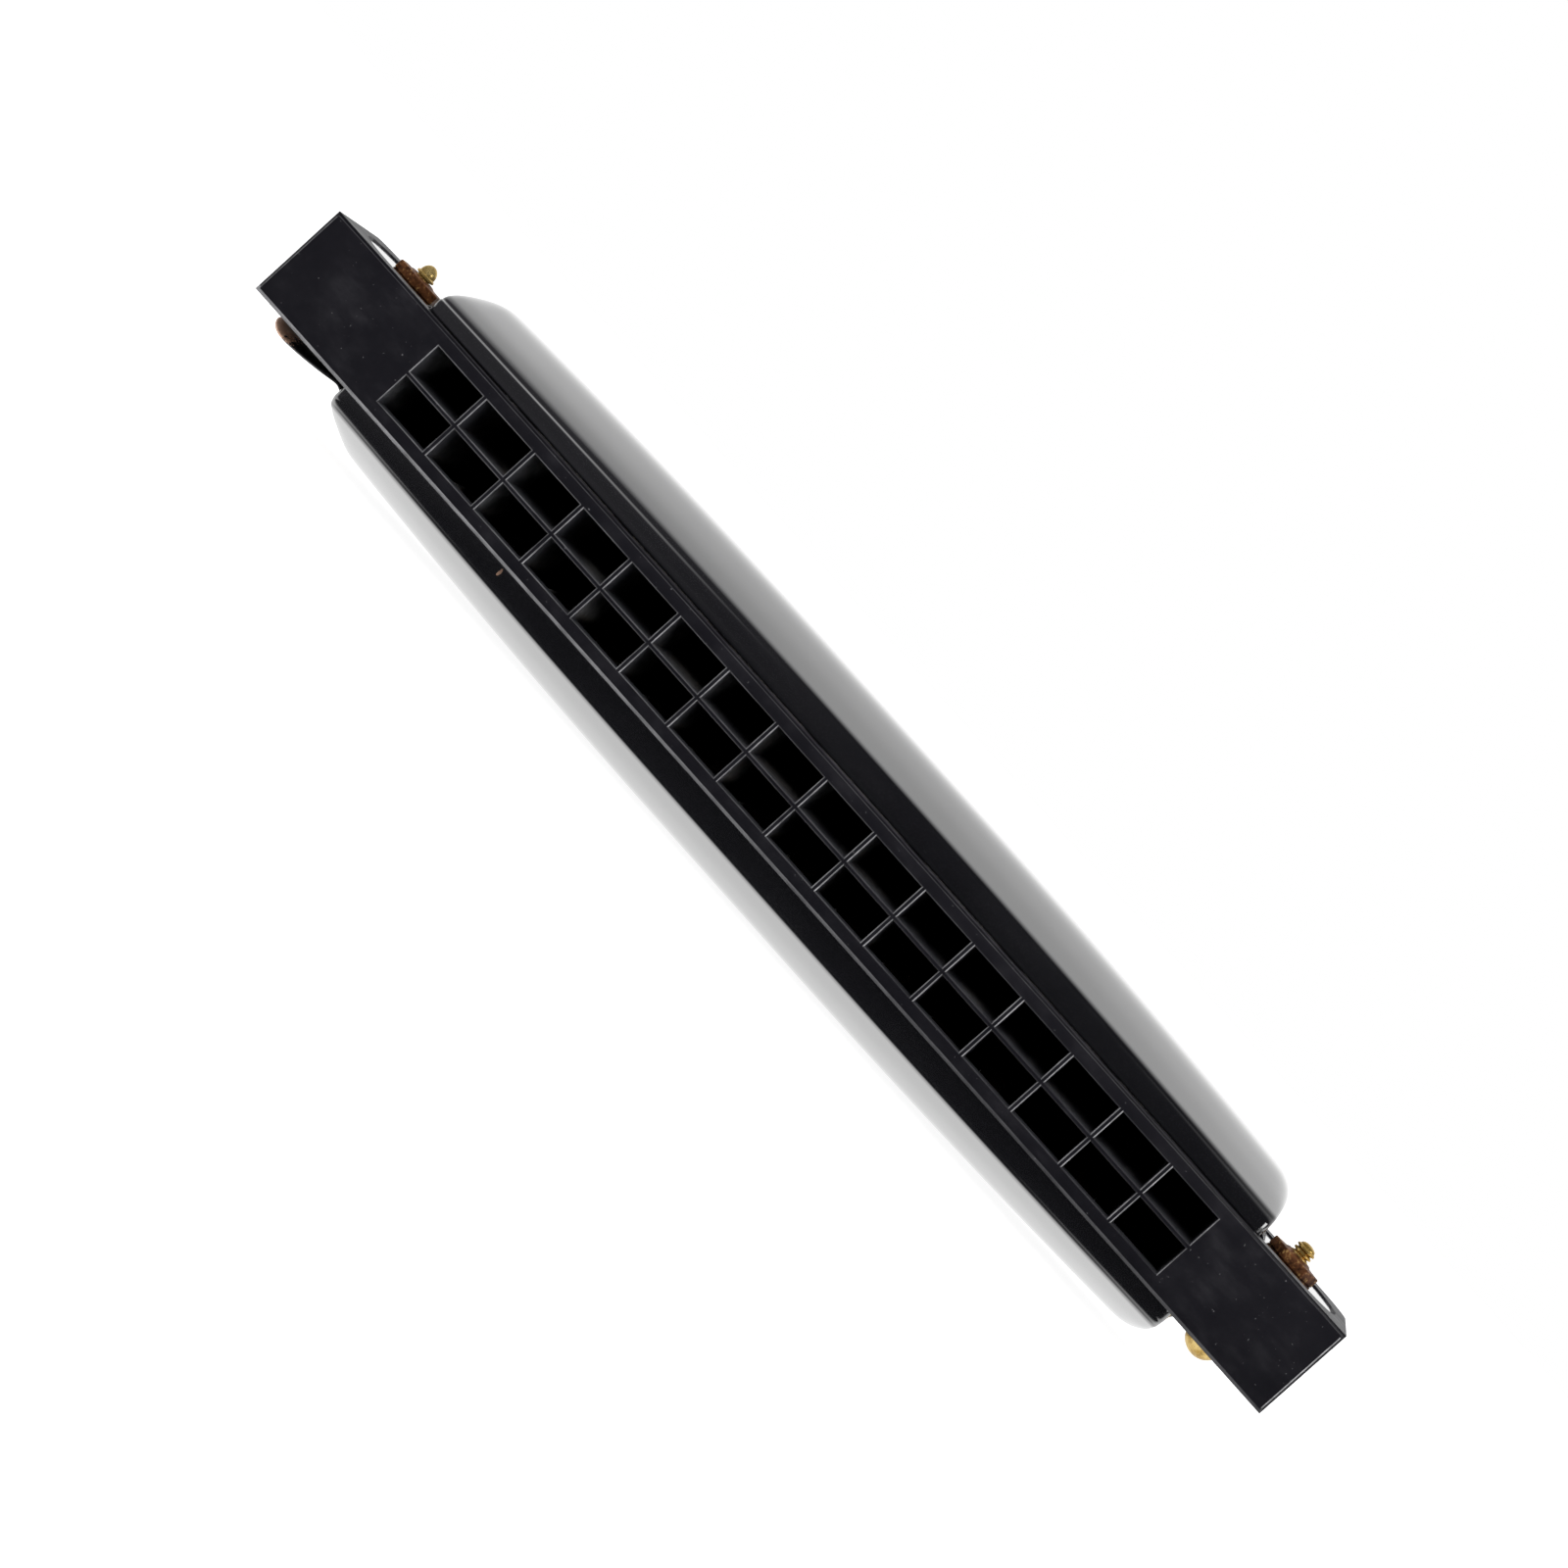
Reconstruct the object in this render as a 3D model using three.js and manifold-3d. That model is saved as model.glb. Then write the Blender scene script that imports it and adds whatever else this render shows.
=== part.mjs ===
// A tremolo mouth organ: a comb with two rows of holes, two reed plates with their reeds,
// and two sheet covers held by two screws.
// Lengths are in millimetres. The low notes are at -X, the mouth face looks along -Y and +Z is up.

import * as THREE from "three";
import Module from "manifold-3d";

const wasm = await Module();
wasm.setup();

// Comb
const comb_depth = 25;
const comb_height = 10.4;
const comb_past_tab = 1.6;
const comb_edge_chamfer = 0.35;
const comb_rear_corner_radius = 4;
const column_count = 16;
const column_pitch = 6.62;
const column_wall = 0.52;
const hole_from_comb_edge = 1.5;
const hole_chamfer = 0.14;
const middle_rib = 0.5;
const mouth_wall = 3.2;
const chamber_rear_wall = 3.5;
const overshoot = 1;

// Reed plates, which lie flush in a recess of the comb
const plate_thickness = 1;
const plate_past_holes = 1.55;
const plate_front_margin = 2;
const plate_rear_margin = 1.4;
const plate_clearance = 0.15;
const nail_from_rear = 2.4;
const nail_shank_radius = 0.4;
const nail_hole_radius = 0.6;
const nail_head_radius = 0.85;
const nail_head_height = 0.35;
const nail_length = 2.8;
const nail_hole_depth = 3.2;

// Reeds, each with the rivet at its root
const reed_width = 2.2;
const reed_thickness = 0.25;
const reed_gap = 0.12;
const reed_tip_lift = 0.25;
const longest_reed_from_wall = 0.6;
const slot_side_clearance = 0.2;
const slot_end_clearance = 0.3;
const pad_length = 2.4;
const pad_width = 2.8;
const pad_thickness = 0.45;
const rivet_from_chamber_end = 1.6;
const rivet_radius = 0.45;
const rivet_hole_radius = 0.65;
const rivet_head_radius = 0.8;
const rivet_head_height = 0.35;
const rivet_tail = 0.3;

// Covers, of bent sheet
const cover_past_plate = 1.75;
const cover_front = 2.4;
const cover_rear = 0.4;
const cover_rise = 6.13;
const sheet_thickness = 0.4;
const shoulder_length = 3.6;
const crown_flat_half_length = 10;
const cover_corner_radius = 0.9;
const rear_opening_from_end = 7;
const rear_opening_height = 4.9;

// The covers' end tabs and the recesses that they lie in
const tab_recess_depth = 0.55;
const tab_recess_past_plate = 0.95;
const tab_clearance = 0.3;
const tab_length = 10.4;
const tab_half_width = 8;
const tab_tip_length = 5;
const tab_fillet = 1.2;
const tab_bend_drop = 1.7;
const pulled_tab_hole_radius = 2.7;

// Screws and nuts
const screw_past_cover = 4.5;
const screw_hole_radius = 1.25;
const screw_radius = 0.95;
const thread_root_radius = 0.75;
const thread_pitch = 0.45;
const screw_past_nut = 1.65;
const head_radius = 2.3;
const head_height = 2;
const pulled_head_height = 1.1;
const head_slot_width = 0.6;
const head_slot_depth = 0.7;
const nut_corner_radius = 2.85;
const nut_thickness = 1;
const nut_bore_radius = 1.15;
const nut_collar_radius = 1.7;
const nut_collar_top_radius = 1.32;
const nut_collar_height = 0.45;

// How dull each finish is, and how much of a metal the nuts' old skin shows
const comb_roughness = 0.5;
const plate_roughness = 0.35;
const brass_roughness = 0.3;
const cover_roughness = 0.12;
const nut_roughness = 0.55;
const nut_metalness = 0.8;
const nail_roughness = 0.4;

// Shares, powers, angles and counts
const nail_place_shares = [-0.88, -0.44, 0, 0.44, 0.88];
const nail_head_shares = [0.9, 0.5];
const shortest_reed_share = 0.616;
const thread_ridge_shares = [0.4, 0.6];
const thread_ridge_count = 3;
const nut_side_count = 6;
const left_nut_turn = Math.PI / 6;
const tab_tip_power = 2.4;
const tab_bend_power = 1.3;
const shoulder_start_share = 0.42;
const shoulder_power = 2.3;
const shoulder_sharpness = 6;
const crown_drop_share = 0.215;
const shoulder_station_shares = [0, 0.04, 0.12, 0.24, 0.4, 0.6, 0.8, 1];
const length_station_count = 6;
const tab_tip_station_shares = [0, 0.3, 0.54, 0.74, 0.89, 0.985];
const tab_fillet_station_shares = [0, 0.08, 0.25, 0.5, 0.75, 1];
const tab_straight_station_count = 5;
const corner_step_count = 5;
const round_side_count = 18;
const small_side_count = 8;

// The outside of a cover's front wall with its ledge, from its foot:
// how far back and how high, as shares of the cover's depth and rise
const wall_section_shares = [
  [0, 0],
  [0, 0.278],
  [0.0045, 0.306],
  [0.014, 0.32],
  [0.026, 0.326],
  [0.033, 0.344],
];

// The outside of a cover's dome, from the ledge to the rear edge:
// a long slope, a level crest and a rounded rear
const dome_section_shares = [
  [0.04, 0.401],
  [0.051, 0.444],
  [0.068, 0.478],
  [0.093, 0.509],
  [0.252, 0.71],
  [0.428, 0.902],
  [0.5, 0.959],
  [0.563, 0.988],
  [0.626, 1],
  [0.761, 1],
  [0.86, 0.989],
  [0.928, 0.967],
  [0.977, 0.93],
  [1, 0.889],
];
const inner_wall_share = 0.217;

const comb_middle = cover_rise + comb_height / 2;
const face_y = -comb_depth / 2;
const rear_y = comb_depth / 2;
const half_height = comb_height / 2;
const plate_inner = half_height - plate_thickness;
const plate_front_y = face_y + plate_front_margin;
const plate_rear_y = rear_y - plate_rear_margin;
const chamber_front_y = face_y + mouth_wall;
const chamber_rear_y = rear_y - chamber_rear_wall;
const hole_width = column_pitch - column_wall;
const hole_height = half_height - middle_rib / 2 - hole_from_comb_edge;
const plate_length = (column_count - 1) * column_pitch + hole_width + 2 * plate_past_holes;
const cover_half_length = plate_length / 2 + cover_past_plate;
const rear_opening_half_length = cover_half_length - rear_opening_from_end;
const tab_recess_start = plate_length / 2 + tab_recess_past_plate;
const tab_end = cover_half_length + tab_length;
const comb_length = 2 * (tab_end + comb_past_tab);
const screw_x = cover_half_length + screw_past_cover;
const chamber_length = chamber_rear_y - chamber_front_y;
const reed_root_from_wall = rivet_from_chamber_end + pad_length / 2;
const longest_reed = chamber_length - reed_root_from_wall - slot_end_clearance - longest_reed_from_wall;
const shortest_reed = longest_reed * shortest_reed_share;
const tab_floor = half_height - tab_recess_depth;
const tab_top = tab_floor + sheet_thickness;
const nail_y = rear_y - nail_from_rear;
const nail_columns = nail_place_shares.map((share) => share * plate_length / 2);
const cover_front_y = face_y + cover_front;
const cover_rear_y = rear_y - cover_rear;

function finish(name, color, roughness, metalness) {
  return new THREE.MeshStandardMaterial({ name, color, roughness, metalness });
}

const comb_plastic = finish("comb_plastic", "#1c1c20", comb_roughness, 0);
const plate_brass = finish("plate_brass", "#c9a24e", plate_roughness, 1);
const reed_brass = finish("reed_brass", "#b98d45", brass_roughness, 1);
const cover_black = finish("cover_black", "#0e0e12", cover_roughness, 0);
const screw_brass = finish("screw_brass", "#c8a45a", brass_roughness, 1);
const nut_bronze = finish("nut_bronze", "#7d5533", nut_roughness, nut_metalness);
const nail_steel = finish("nail_steel", "#9a958a", nail_roughness, 1);

// Turns corners and triangles into a solid that faces out.
function closed_solid(corners, triangles) {
  const at = (triangle, place) => new THREE.Vector3(...corners[triangle[place]]);
  const volume = triangles.reduce((sum, t) => sum + at(t, 0).dot(at(t, 1).cross(at(t, 2))), 0);
  const outward = volume < 0 ? triangles.map(([a, b, c]) => [a, c, b]) : triangles;
  return new wasm.Manifold(new wasm.Mesh({
    numProp: 3,
    vertProperties: new Float32Array(corners.flat()),
    triVerts: new Uint32Array(outward.flat()),
  }));
}

// Triangulates one ring, in the two axes named, in the ring's own turning direction.
function cap_of(ring, axes) {
  const flat = ring.map((corner) => new THREE.Vector2(corner[axes[0]], corner[axes[1]]));
  const turn = Math.sign(THREE.ShapeUtils.area(flat));
  return THREE.ShapeUtils.triangulateShape(flat, []).map(([a, b, c]) => {
    const own = Math.sign(THREE.ShapeUtils.area([flat[a], flat[b], flat[c]]));
    return own === turn ? [a, b, c] : [a, c, b];
  });
}

// Joins rings of equally many corners, one after the other, into a solid with a flat cap at both ends.
function loft(rings, axes) {
  const count = rings[0].length;
  const triangles = [];
  for (let ring = 0; ring + 1 < rings.length; ring += 1) {
    for (let corner = 0; corner < count; corner += 1) {
      const here = ring * count + corner;
      const beside = ring * count + (corner + 1) % count;
      triangles.push([here, beside, beside + count], [here, beside + count, here + count]);
    }
  }
  const last = (rings.length - 1) * count;
  cap_of(rings[0], axes).forEach(([a, b, c]) => triangles.push([a, c, b]));
  cap_of(rings[rings.length - 1], axes).forEach((cap) => triangles.push(cap.map((corner) => last + corner)));
  return closed_solid(rings.flat(), triangles);
}

// A rectangle across Y.
function slab_ring(y, left, right, low, high) {
  return [[left, y, low], [right, y, low], [right, y, high], [left, y, high]];
}

// A box between two corners. The ends of the span in Z may come in either order.
function block(left, right, front, rear, first_z, second_z) {
  const low = Math.min(first_z, second_z);
  const high = Math.max(first_z, second_z);
  return loft([slab_ring(front, left, right, low, high), slab_ring(rear, left, right, low, high)], [0, 2]);
}

// A turned or many-sided piece along Z, from pairs of a radius and a height.
function turned(profile, sides, x, y, start_angle = 0) {
  const rings = profile.map(([radius, z]) => Array.from({ length: sides }, (unused, side) => {
    const angle = start_angle + 2 * Math.PI * side / sides;
    return [x + radius * Math.cos(angle), y + radius * Math.sin(angle), z];
  }));
  return loft(rings, [0, 1]);
}

function union_of(solids) {
  return solids.reduce((whole, solid) => whole.add(solid));
}

function column_x(column) {
  return (column - (column_count - 1) / 2) * column_pitch;
}

// Blow columns have their reeds inside the chambers, draw columns have them on the outside of the plate.
function is_draw(column) {
  return column % 2 === 1;
}

function reed_length(column) {
  return longest_reed + (shortest_reed - longest_reed) * column / (column_count - 1);
}

// A blow reed is riveted at the rear and points to the mouth, a draw reed the other way round.
function rivet_y(column) {
  return is_draw(column) ? chamber_front_y + rivet_from_chamber_end : chamber_rear_y - rivet_from_chamber_end;
}

function reed_direction(column) {
  return is_draw(column) ? 1 : -1;
}

function comb_body() {
  const rings = [];
  const half_length = comb_length / 2;
  const rear_start = rear_y - comb_rear_corner_radius;
  const small = comb_edge_chamfer;
  const [face_reach, face_rise] = [half_length - small, half_height - small];
  rings.push(slab_ring(face_y, -face_reach, face_reach, -face_rise, face_rise));
  rings.push(slab_ring(face_y + small, -half_length, half_length, -half_height, half_height));
  for (let step = 0; step <= corner_step_count; step += 1) {
    const angle = Math.PI / 2 * step / corner_step_count;
    const reach = half_length - comb_rear_corner_radius * (1 - Math.cos(angle));
    const y = rear_start + comb_rear_corner_radius * Math.sin(angle);
    rings.push(slab_ring(y, -reach, reach, -half_height, half_height));
  }
  return loft(rings, [0, 2]);
}

// One mouth hole with its chamfered rim, and the chamber behind it that opens to the reed plate.
function chamber_cut(column, side) {
  const left = column_x(column) - hole_width / 2;
  const right = column_x(column) + hole_width / 2;
  const low = side > 0 ? middle_rib / 2 : -middle_rib / 2 - hole_height;
  const high = low + hole_height;
  const wide = hole_chamfer;
  const mouth = loft([
    slab_ring(face_y - overshoot, left - wide, right + wide, low - wide, high + wide),
    slab_ring(face_y, left - wide, right + wide, low - wide, high + wide),
    slab_ring(face_y + hole_chamfer, left, right, low, high),
    slab_ring(chamber_front_y + overshoot, left, right, low, high),
  ], [0, 2]);
  const [inner_end, outer_end] = [side * middle_rib / 2, side * (plate_inner + overshoot / 2)];
  return mouth.add(block(left, right, chamber_front_y, chamber_rear_y, inner_end, outer_end));
}

// Half the width of an end tab at a distance from the comb's middle: straight, then a rounded tip.
function tab_half_width_at(x, grow) {
  const tip_start = tab_end - tab_tip_length;
  const past = Math.max(0, x - tip_start) / (tab_tip_length + grow);
  return (tab_half_width + grow) * Math.sqrt(Math.max(0, 1 - past ** tab_tip_power));
}

// Stations along a tab from its start to just short of its tip.
function tab_stations(start, grow) {
  const tip_start = tab_end - tab_tip_length;
  const stations = [];
  for (let step = 0; step < tab_straight_station_count; step += 1) {
    stations.push(start + (tip_start - start) * step / tab_straight_station_count);
  }
  tab_tip_station_shares.forEach((share) => stations.push(tip_start + (tab_tip_length + grow) * share));
  return stations;
}

function tab_recess_cut(end, side) {
  const rings = tab_stations(tab_recess_start, tab_clearance).map((x) => {
    const half = tab_half_width_at(x, tab_clearance);
    const floor = side * tab_floor;
    const open = side * (half_height + overshoot);
    return [[end * x, -half, floor], [end * x, half, floor], [end * x, half, open], [end * x, -half, open]];
  });
  return loft(rings, [1, 2]);
}

function make_comb() {
  let comb = comb_body();
  [1, -1].forEach((side) => {
    const cuts = [];
    for (let column = 0; column < column_count; column += 1) {
      cuts.push(chamber_cut(column, side));
    }
    const half = plate_length / 2 + plate_clearance;
    const front = plate_front_y - plate_clearance;
    const rear = plate_rear_y + plate_clearance;
    cuts.push(block(-half, half, front, rear, side * plate_inner, side * (half_height + overshoot)));
    const deep = plate_inner - nail_hole_depth;
    const nail_hole = [[nail_hole_radius, side * deep], [nail_hole_radius, side * half_height]];
    nail_columns.forEach((x) => cuts.push(turned(nail_hole, small_side_count, x, nail_y)));
    [1, -1].forEach((end) => cuts.push(tab_recess_cut(end, side)));
    comb = comb.subtract(union_of(cuts));
  });
  [1, -1].forEach((end) => {
    const through = [[screw_hole_radius, -comb_height], [screw_hole_radius, comb_height]];
    comb = comb.subtract(turned(through, round_side_count, end * screw_x, 0));
  });
  return comb;
}

function make_plate(side) {
  const half = plate_length / 2;
  let plate = block(-half, half, plate_front_y, plate_rear_y, side * plate_inner, side * half_height);
  const below = side * (plate_inner - overshoot);
  const above = side * (half_height + overshoot);
  const cuts = [];
  const rivet_hole = [[rivet_hole_radius, below], [rivet_hole_radius, above]];
  for (let column = 0; column < column_count; column += 1) {
    const x = column_x(column);
    const way = reed_direction(column);
    const root = rivet_y(column) + way * pad_length / 2;
    const tip = root + way * (reed_length(column) + slot_end_clearance);
    const wide = reed_width / 2 + slot_side_clearance;
    cuts.push(block(x - wide, x + wide, Math.min(root, tip), Math.max(root, tip), below, above));
    cuts.push(turned(rivet_hole, small_side_count, x, rivet_y(column)));
  }
  const nail_hole = [[nail_hole_radius, below], [nail_hole_radius, above]];
  nail_columns.forEach((x) => cuts.push(turned(nail_hole, small_side_count, x, nail_y)));
  return plate.subtract(union_of(cuts));
}

// A reed: a pad under the rivet's head, a blade that rises slightly to its tip,
// and the rivet through the plate.
function make_reed(column, side) {
  const x = column_x(column);
  const y = rivet_y(column);
  const way = reed_direction(column);
  const away = is_draw(column) ? side : -side;
  const surface = side * (is_draw(column) ? half_height : plate_inner);
  const height = (distance) => surface + away * distance;
  const pad_top = reed_gap + pad_thickness;
  const [pad_side, pad_end] = [pad_width / 2, pad_length / 2];
  const pad = block(x - pad_side, x + pad_side, y - pad_end, y + pad_end, height(reed_gap), height(pad_top));
  const root = y + way * pad_end / 2;
  const free_start = y + way * pad_end;
  const tip = free_start + way * reed_length(column);
  const blade_ring = (at_y, lift) => {
    const ends = [height(reed_gap + lift), height(reed_gap + lift + reed_thickness)];
    return slab_ring(at_y, x - reed_width / 2, x + reed_width / 2, Math.min(...ends), Math.max(...ends));
  };
  const blade_rings = [blade_ring(root, 0), blade_ring(free_start, 0), blade_ring(tip, reed_tip_lift)];
  const blade = loft(blade_rings, [0, 2]);
  const rivet = turned([
    [rivet_radius, height(-plate_thickness - rivet_tail)],
    [rivet_radius, height(pad_top - pad_thickness / 2)],
    [rivet_head_radius, height(pad_top - pad_thickness / 2)],
    [rivet_head_radius, height(pad_top + rivet_head_height / 2)],
    [rivet_radius, height(pad_top + rivet_head_height)],
  ], small_side_count, x, y);
  return pad.add(blade).add(rivet);
}

function make_nail(x, side) {
  return turned([
    [nail_shank_radius / 2, side * (half_height - nail_length)],
    [nail_shank_radius, side * (half_height - nail_length + nail_shank_radius)],
    [nail_shank_radius, side * half_height],
    [nail_head_radius, side * half_height],
    [nail_head_radius * nail_head_shares[0], side * (half_height + nail_head_height / 2)],
    [nail_head_radius * nail_head_shares[1], side * (half_height + nail_head_height)],
  ], small_side_count, x, nail_y);
}

// How far along the shoulder's curve the cover's height has come, from its end wall to its full height.
function shoulder_share(from_end) {
  const left = 1 - Math.min(1, from_end / shoulder_length);
  const rise = (1 - left ** shoulder_power) ** (1 / shoulder_power);
  return shoulder_start_share + (1 - shoulder_start_share) * rise;
}

// How much of its full height the cover has along its length: all in the middle, less towards the ends.
function crown_at(x) {
  const falling_length = cover_half_length - crown_flat_half_length;
  const past = Math.max(0, Math.abs(x) - crown_flat_half_length) / falling_length;
  return 1 - crown_drop_share * past ** 2;
}

// Moves each point of an open line sideways, towards the inside of the cover.
function inset_line(points, distance) {
  return points.map((point, index) => {
    const before = points[Math.max(0, index - 1)];
    const after = points[Math.min(points.length - 1, index + 1)];
    const first = new THREE.Vector2(point[0] - before[0], point[1] - before[1]).normalize();
    const second = new THREE.Vector2(after[0] - point[0], after[1] - point[1]).normalize();
    const along = first.add(second).normalize();
    return [point[0] + along.y * distance, point[1] - along.x * distance];
  });
}

// The cover's outline filled down to the comb, or the hollow inside it when inset is the sheet's thickness.
function cover_solid(side, inset) {
  const depth = cover_rear_y - cover_front_y;
  const placed = (shares) => shares.map(([back, up]) => [cover_front_y + back * depth, up * cover_rise]);
  const dome = placed(dome_section_shares);
  const outer_wall = placed(wall_section_shares);
  const inner_wall = [[cover_front_y + inset, 0], [cover_front_y + inset, inner_wall_share * cover_rise]];
  const section = inset > 0 ? [...inner_wall, ...inset_line(dome, inset)] : [...outer_wall, ...dome];
  section.push([cover_rear_y - inset, 0]);
  const top = Math.max(...section.map(([unused, up]) => up));
  const half = cover_half_length - inset;
  const middle_y = (cover_front_y + cover_rear_y) / 2;
  const stations = shoulder_station_shares.map((share) => half - share * shoulder_length);
  const sloping = half - shoulder_length - crown_flat_half_length;
  for (let step = 1; step <= length_station_count; step += 1) {
    stations.push(crown_flat_half_length + sloping * (1 - step / length_station_count));
  }
  const all = [...stations, ...stations.slice().reverse().map((x) => -x)];
  const rings = all.map((x) => {
    const from_end = half - Math.abs(x);
    const share = shoulder_share(from_end);
    const crown = crown_at(x);
    const corner_left = Math.max(0, cover_corner_radius - from_end);
    const corner = cover_corner_radius - Math.sqrt(cover_corner_radius ** 2 - corner_left ** 2);
    const narrow = 1 - corner / (depth / 2);
    const ring = section.map(([y, up]) => {
      const part = Math.max(0, up / top);
      const excess = (part / share) ** shoulder_sharpness - part ** shoulder_sharpness;
      const limit = (1 + excess) ** (-1 / shoulder_sharpness);
      return [x, middle_y + (y - middle_y) * narrow, side * (half_height + top * part * limit * crown)];
    });
    if (inset > 0) {
      ring[0][2] = side * (half_height - overshoot);
      ring[ring.length - 1][2] = side * (half_height - overshoot);
    }
    return ring;
  });
  return loft(rings, [1, 2]);
}

// The long opening at the cover's rear, whose upper edge follows the crown.
function rear_opening_cut(side) {
  const half = rear_opening_half_length;
  const count = 2 * length_station_count;
  const low = side * (half_height - overshoot);
  const rings = Array.from({ length: count + 1 }, (unused, step) => {
    const x = half * (2 * step / count - 1);
    const high = side * (half_height + rear_opening_height * crown_at(x));
    const front = cover_rear_y - cover_corner_radius;
    const rear = rear_y + overshoot;
    return [[x, front, low], [x, rear, low], [x, rear, high], [x, front, high]];
  });
  return loft(rings, [1, 2]);
}

// An end tab with the curve that joins it to the cover's end wall.
// A bent one runs away from the comb towards its tip.
function make_tab(end, side, drop) {
  const start = cover_half_length - sheet_thickness;
  const fillet_end = cover_half_length + tab_fillet;
  const rings = [];
  const ring_at = (x, rise) => {
    const half = tab_half_width_at(x, 0);
    const fall = drop * (Math.max(0, x - cover_half_length) / tab_length) ** tab_bend_power;
    const low = side * (tab_floor + fall);
    const high = side * (tab_top + fall + rise);
    return [[end * x, -half, low], [end * x, half, low], [end * x, half, high], [end * x, -half, high]];
  };
  rings.push(ring_at(start, tab_fillet));
  tab_fillet_station_shares.forEach((share) => {
    const x = cover_half_length + tab_fillet * share;
    rings.push(ring_at(x, tab_fillet * (1 - Math.sqrt(1 - (1 - share) ** 2))));
  });
  tab_stations(fillet_end, 0).slice(1).forEach((x) => rings.push(ring_at(x, 0)));
  return loft(rings, [1, 2]);
}

function make_cover(side) {
  let cover = cover_solid(side, 0).subtract(cover_solid(side, sheet_thickness));
  cover = cover.subtract(rear_opening_cut(side));
  [1, -1].forEach((end) => {
    const pulled = end < 0 && side < 0;
    const hole = pulled ? pulled_tab_hole_radius : screw_hole_radius;
    const tab = make_tab(end, side, pulled ? tab_bend_drop : 0);
    const through = turned([[hole, -comb_height], [hole, comb_height]], round_side_count, end * screw_x, 0);
    cover = cover.add(tab.subtract(through));
  });
  return cover;
}

// A slotted screw with a domed head below, whose threaded end stands out of the nut above.
function make_screw(end, seat, height) {
  const nut_top = tab_top + nut_thickness;
  const tip = nut_top + screw_past_nut;
  const dome = [];
  for (let step = 0; step <= corner_step_count; step += 1) {
    const angle = Math.PI / 2 * (1 - step / (corner_step_count + 1));
    dome.push([head_radius * Math.cos(angle), -seat - height * Math.sin(angle)]);
  }
  const thread = [];
  for (let ridge = 0; ridge < thread_ridge_count; ridge += 1) {
    const foot = nut_top + thread_pitch * ridge;
    thread.push([thread_root_radius, foot]);
    thread_ridge_shares.forEach((share) => thread.push([screw_radius, foot + thread_pitch * share]));
  }
  const profile = [
    ...dome.slice(1),
    [head_radius, -seat],
    [screw_radius, -seat],
    [screw_radius, nut_top - thread_pitch / 2],
    ...thread,
    [thread_root_radius, tip - thread_pitch / 2],
    [thread_root_radius / 2, tip],
  ];
  const x = end * screw_x;
  const slot_low = -seat - height - overshoot;
  const slot_high = -seat - height + head_slot_depth;
  const slot_side = head_slot_width / 2;
  const slot = block(x - head_radius, x + head_radius, -slot_side, slot_side, slot_low, slot_high);
  return turned(profile, round_side_count, x, 0).subtract(slot);
}

function make_nut(end, start_angle) {
  const x = end * screw_x;
  const top = tab_top + nut_thickness;
  const flat_plate = [[nut_corner_radius, tab_top], [nut_corner_radius, top]];
  const plate = turned(flat_plate, nut_side_count, x, 0, start_angle);
  const collar = turned([
    [nut_collar_radius, top - nut_thickness / 2],
    [nut_collar_radius, top],
    [nut_collar_top_radius, top + nut_collar_height],
  ], round_side_count, x, 0);
  const bore = turned([[nut_bore_radius, 0], [nut_bore_radius, comb_height]], round_side_count, x, 0);
  return plate.add(collar).subtract(bore);
}

const organ = new THREE.Group();
organ.name = "harmonica";

// Lifts a solid so that the lower cover's crest is at height 0, and adds it as a named mesh.
function add_piece(name, solid, material) {
  const mesh = solid.getMesh();
  const geometry = new THREE.BufferGeometry();
  const places = new Float32Array(mesh.numVert * 3);
  for (let corner = 0; corner < mesh.numVert; corner += 1) {
    places[3 * corner] = mesh.vertProperties[corner * mesh.numProp];
    places[3 * corner + 1] = mesh.vertProperties[corner * mesh.numProp + 1];
    places[3 * corner + 2] = mesh.vertProperties[corner * mesh.numProp + 2] + comb_middle;
  }
  geometry.setAttribute("position", new THREE.BufferAttribute(places, 3));
  geometry.setIndex(new THREE.BufferAttribute(new Uint32Array(mesh.triVerts), 1));
  const flat = geometry.toNonIndexed();
  flat.computeVertexNormals();
  const piece = new THREE.Mesh(flat, material);
  piece.name = name;
  organ.add(piece);
}

const side_names = [["upper", 1], ["lower", -1]];
const end_names = [["left", -1], ["right", 1]];

add_piece("comb", make_comb(), comb_plastic);
side_names.forEach(([side_name, side]) => {
  add_piece(`reed_plate_${side_name}`, make_plate(side), plate_brass);
  add_piece(`cover_${side_name}`, make_cover(side), cover_black);
  for (let column = 0; column < column_count; column += 1) {
    const number = String(column + 1).padStart(2, "0");
    add_piece(`reed_${side_name}_${number}`, make_reed(column, side), reed_brass);
  }
  nail_columns.forEach((x, index) => {
    add_piece(`nail_${side_name}_${index + 1}`, make_nail(x, side), nail_steel);
  });
});
end_names.forEach(([end_name, end]) => {
  const [seat, height] = end > 0 ? [tab_top, head_height] : [tab_floor, pulled_head_height];
  add_piece(`screw_${end_name}`, make_screw(end, seat, height), screw_brass);
  add_piece(`nut_${end_name}`, make_nut(end, end > 0 ? 0 : left_nut_turn), nut_bronze);
});

export default organ;
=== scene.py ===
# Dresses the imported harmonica: smooth pressed covers, turned screws and nuts, and a finish
# for every piece, in a plain studio.
# Lengths are in metres. The low notes are at -X, the mouth face looks along -Y and +Z is up.
# Colours are linear red, green and blue. A noise's scale is about how many grains a metre holds.

import math

import bmesh
import bpy
from mathutils import Matrix, Vector


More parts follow.
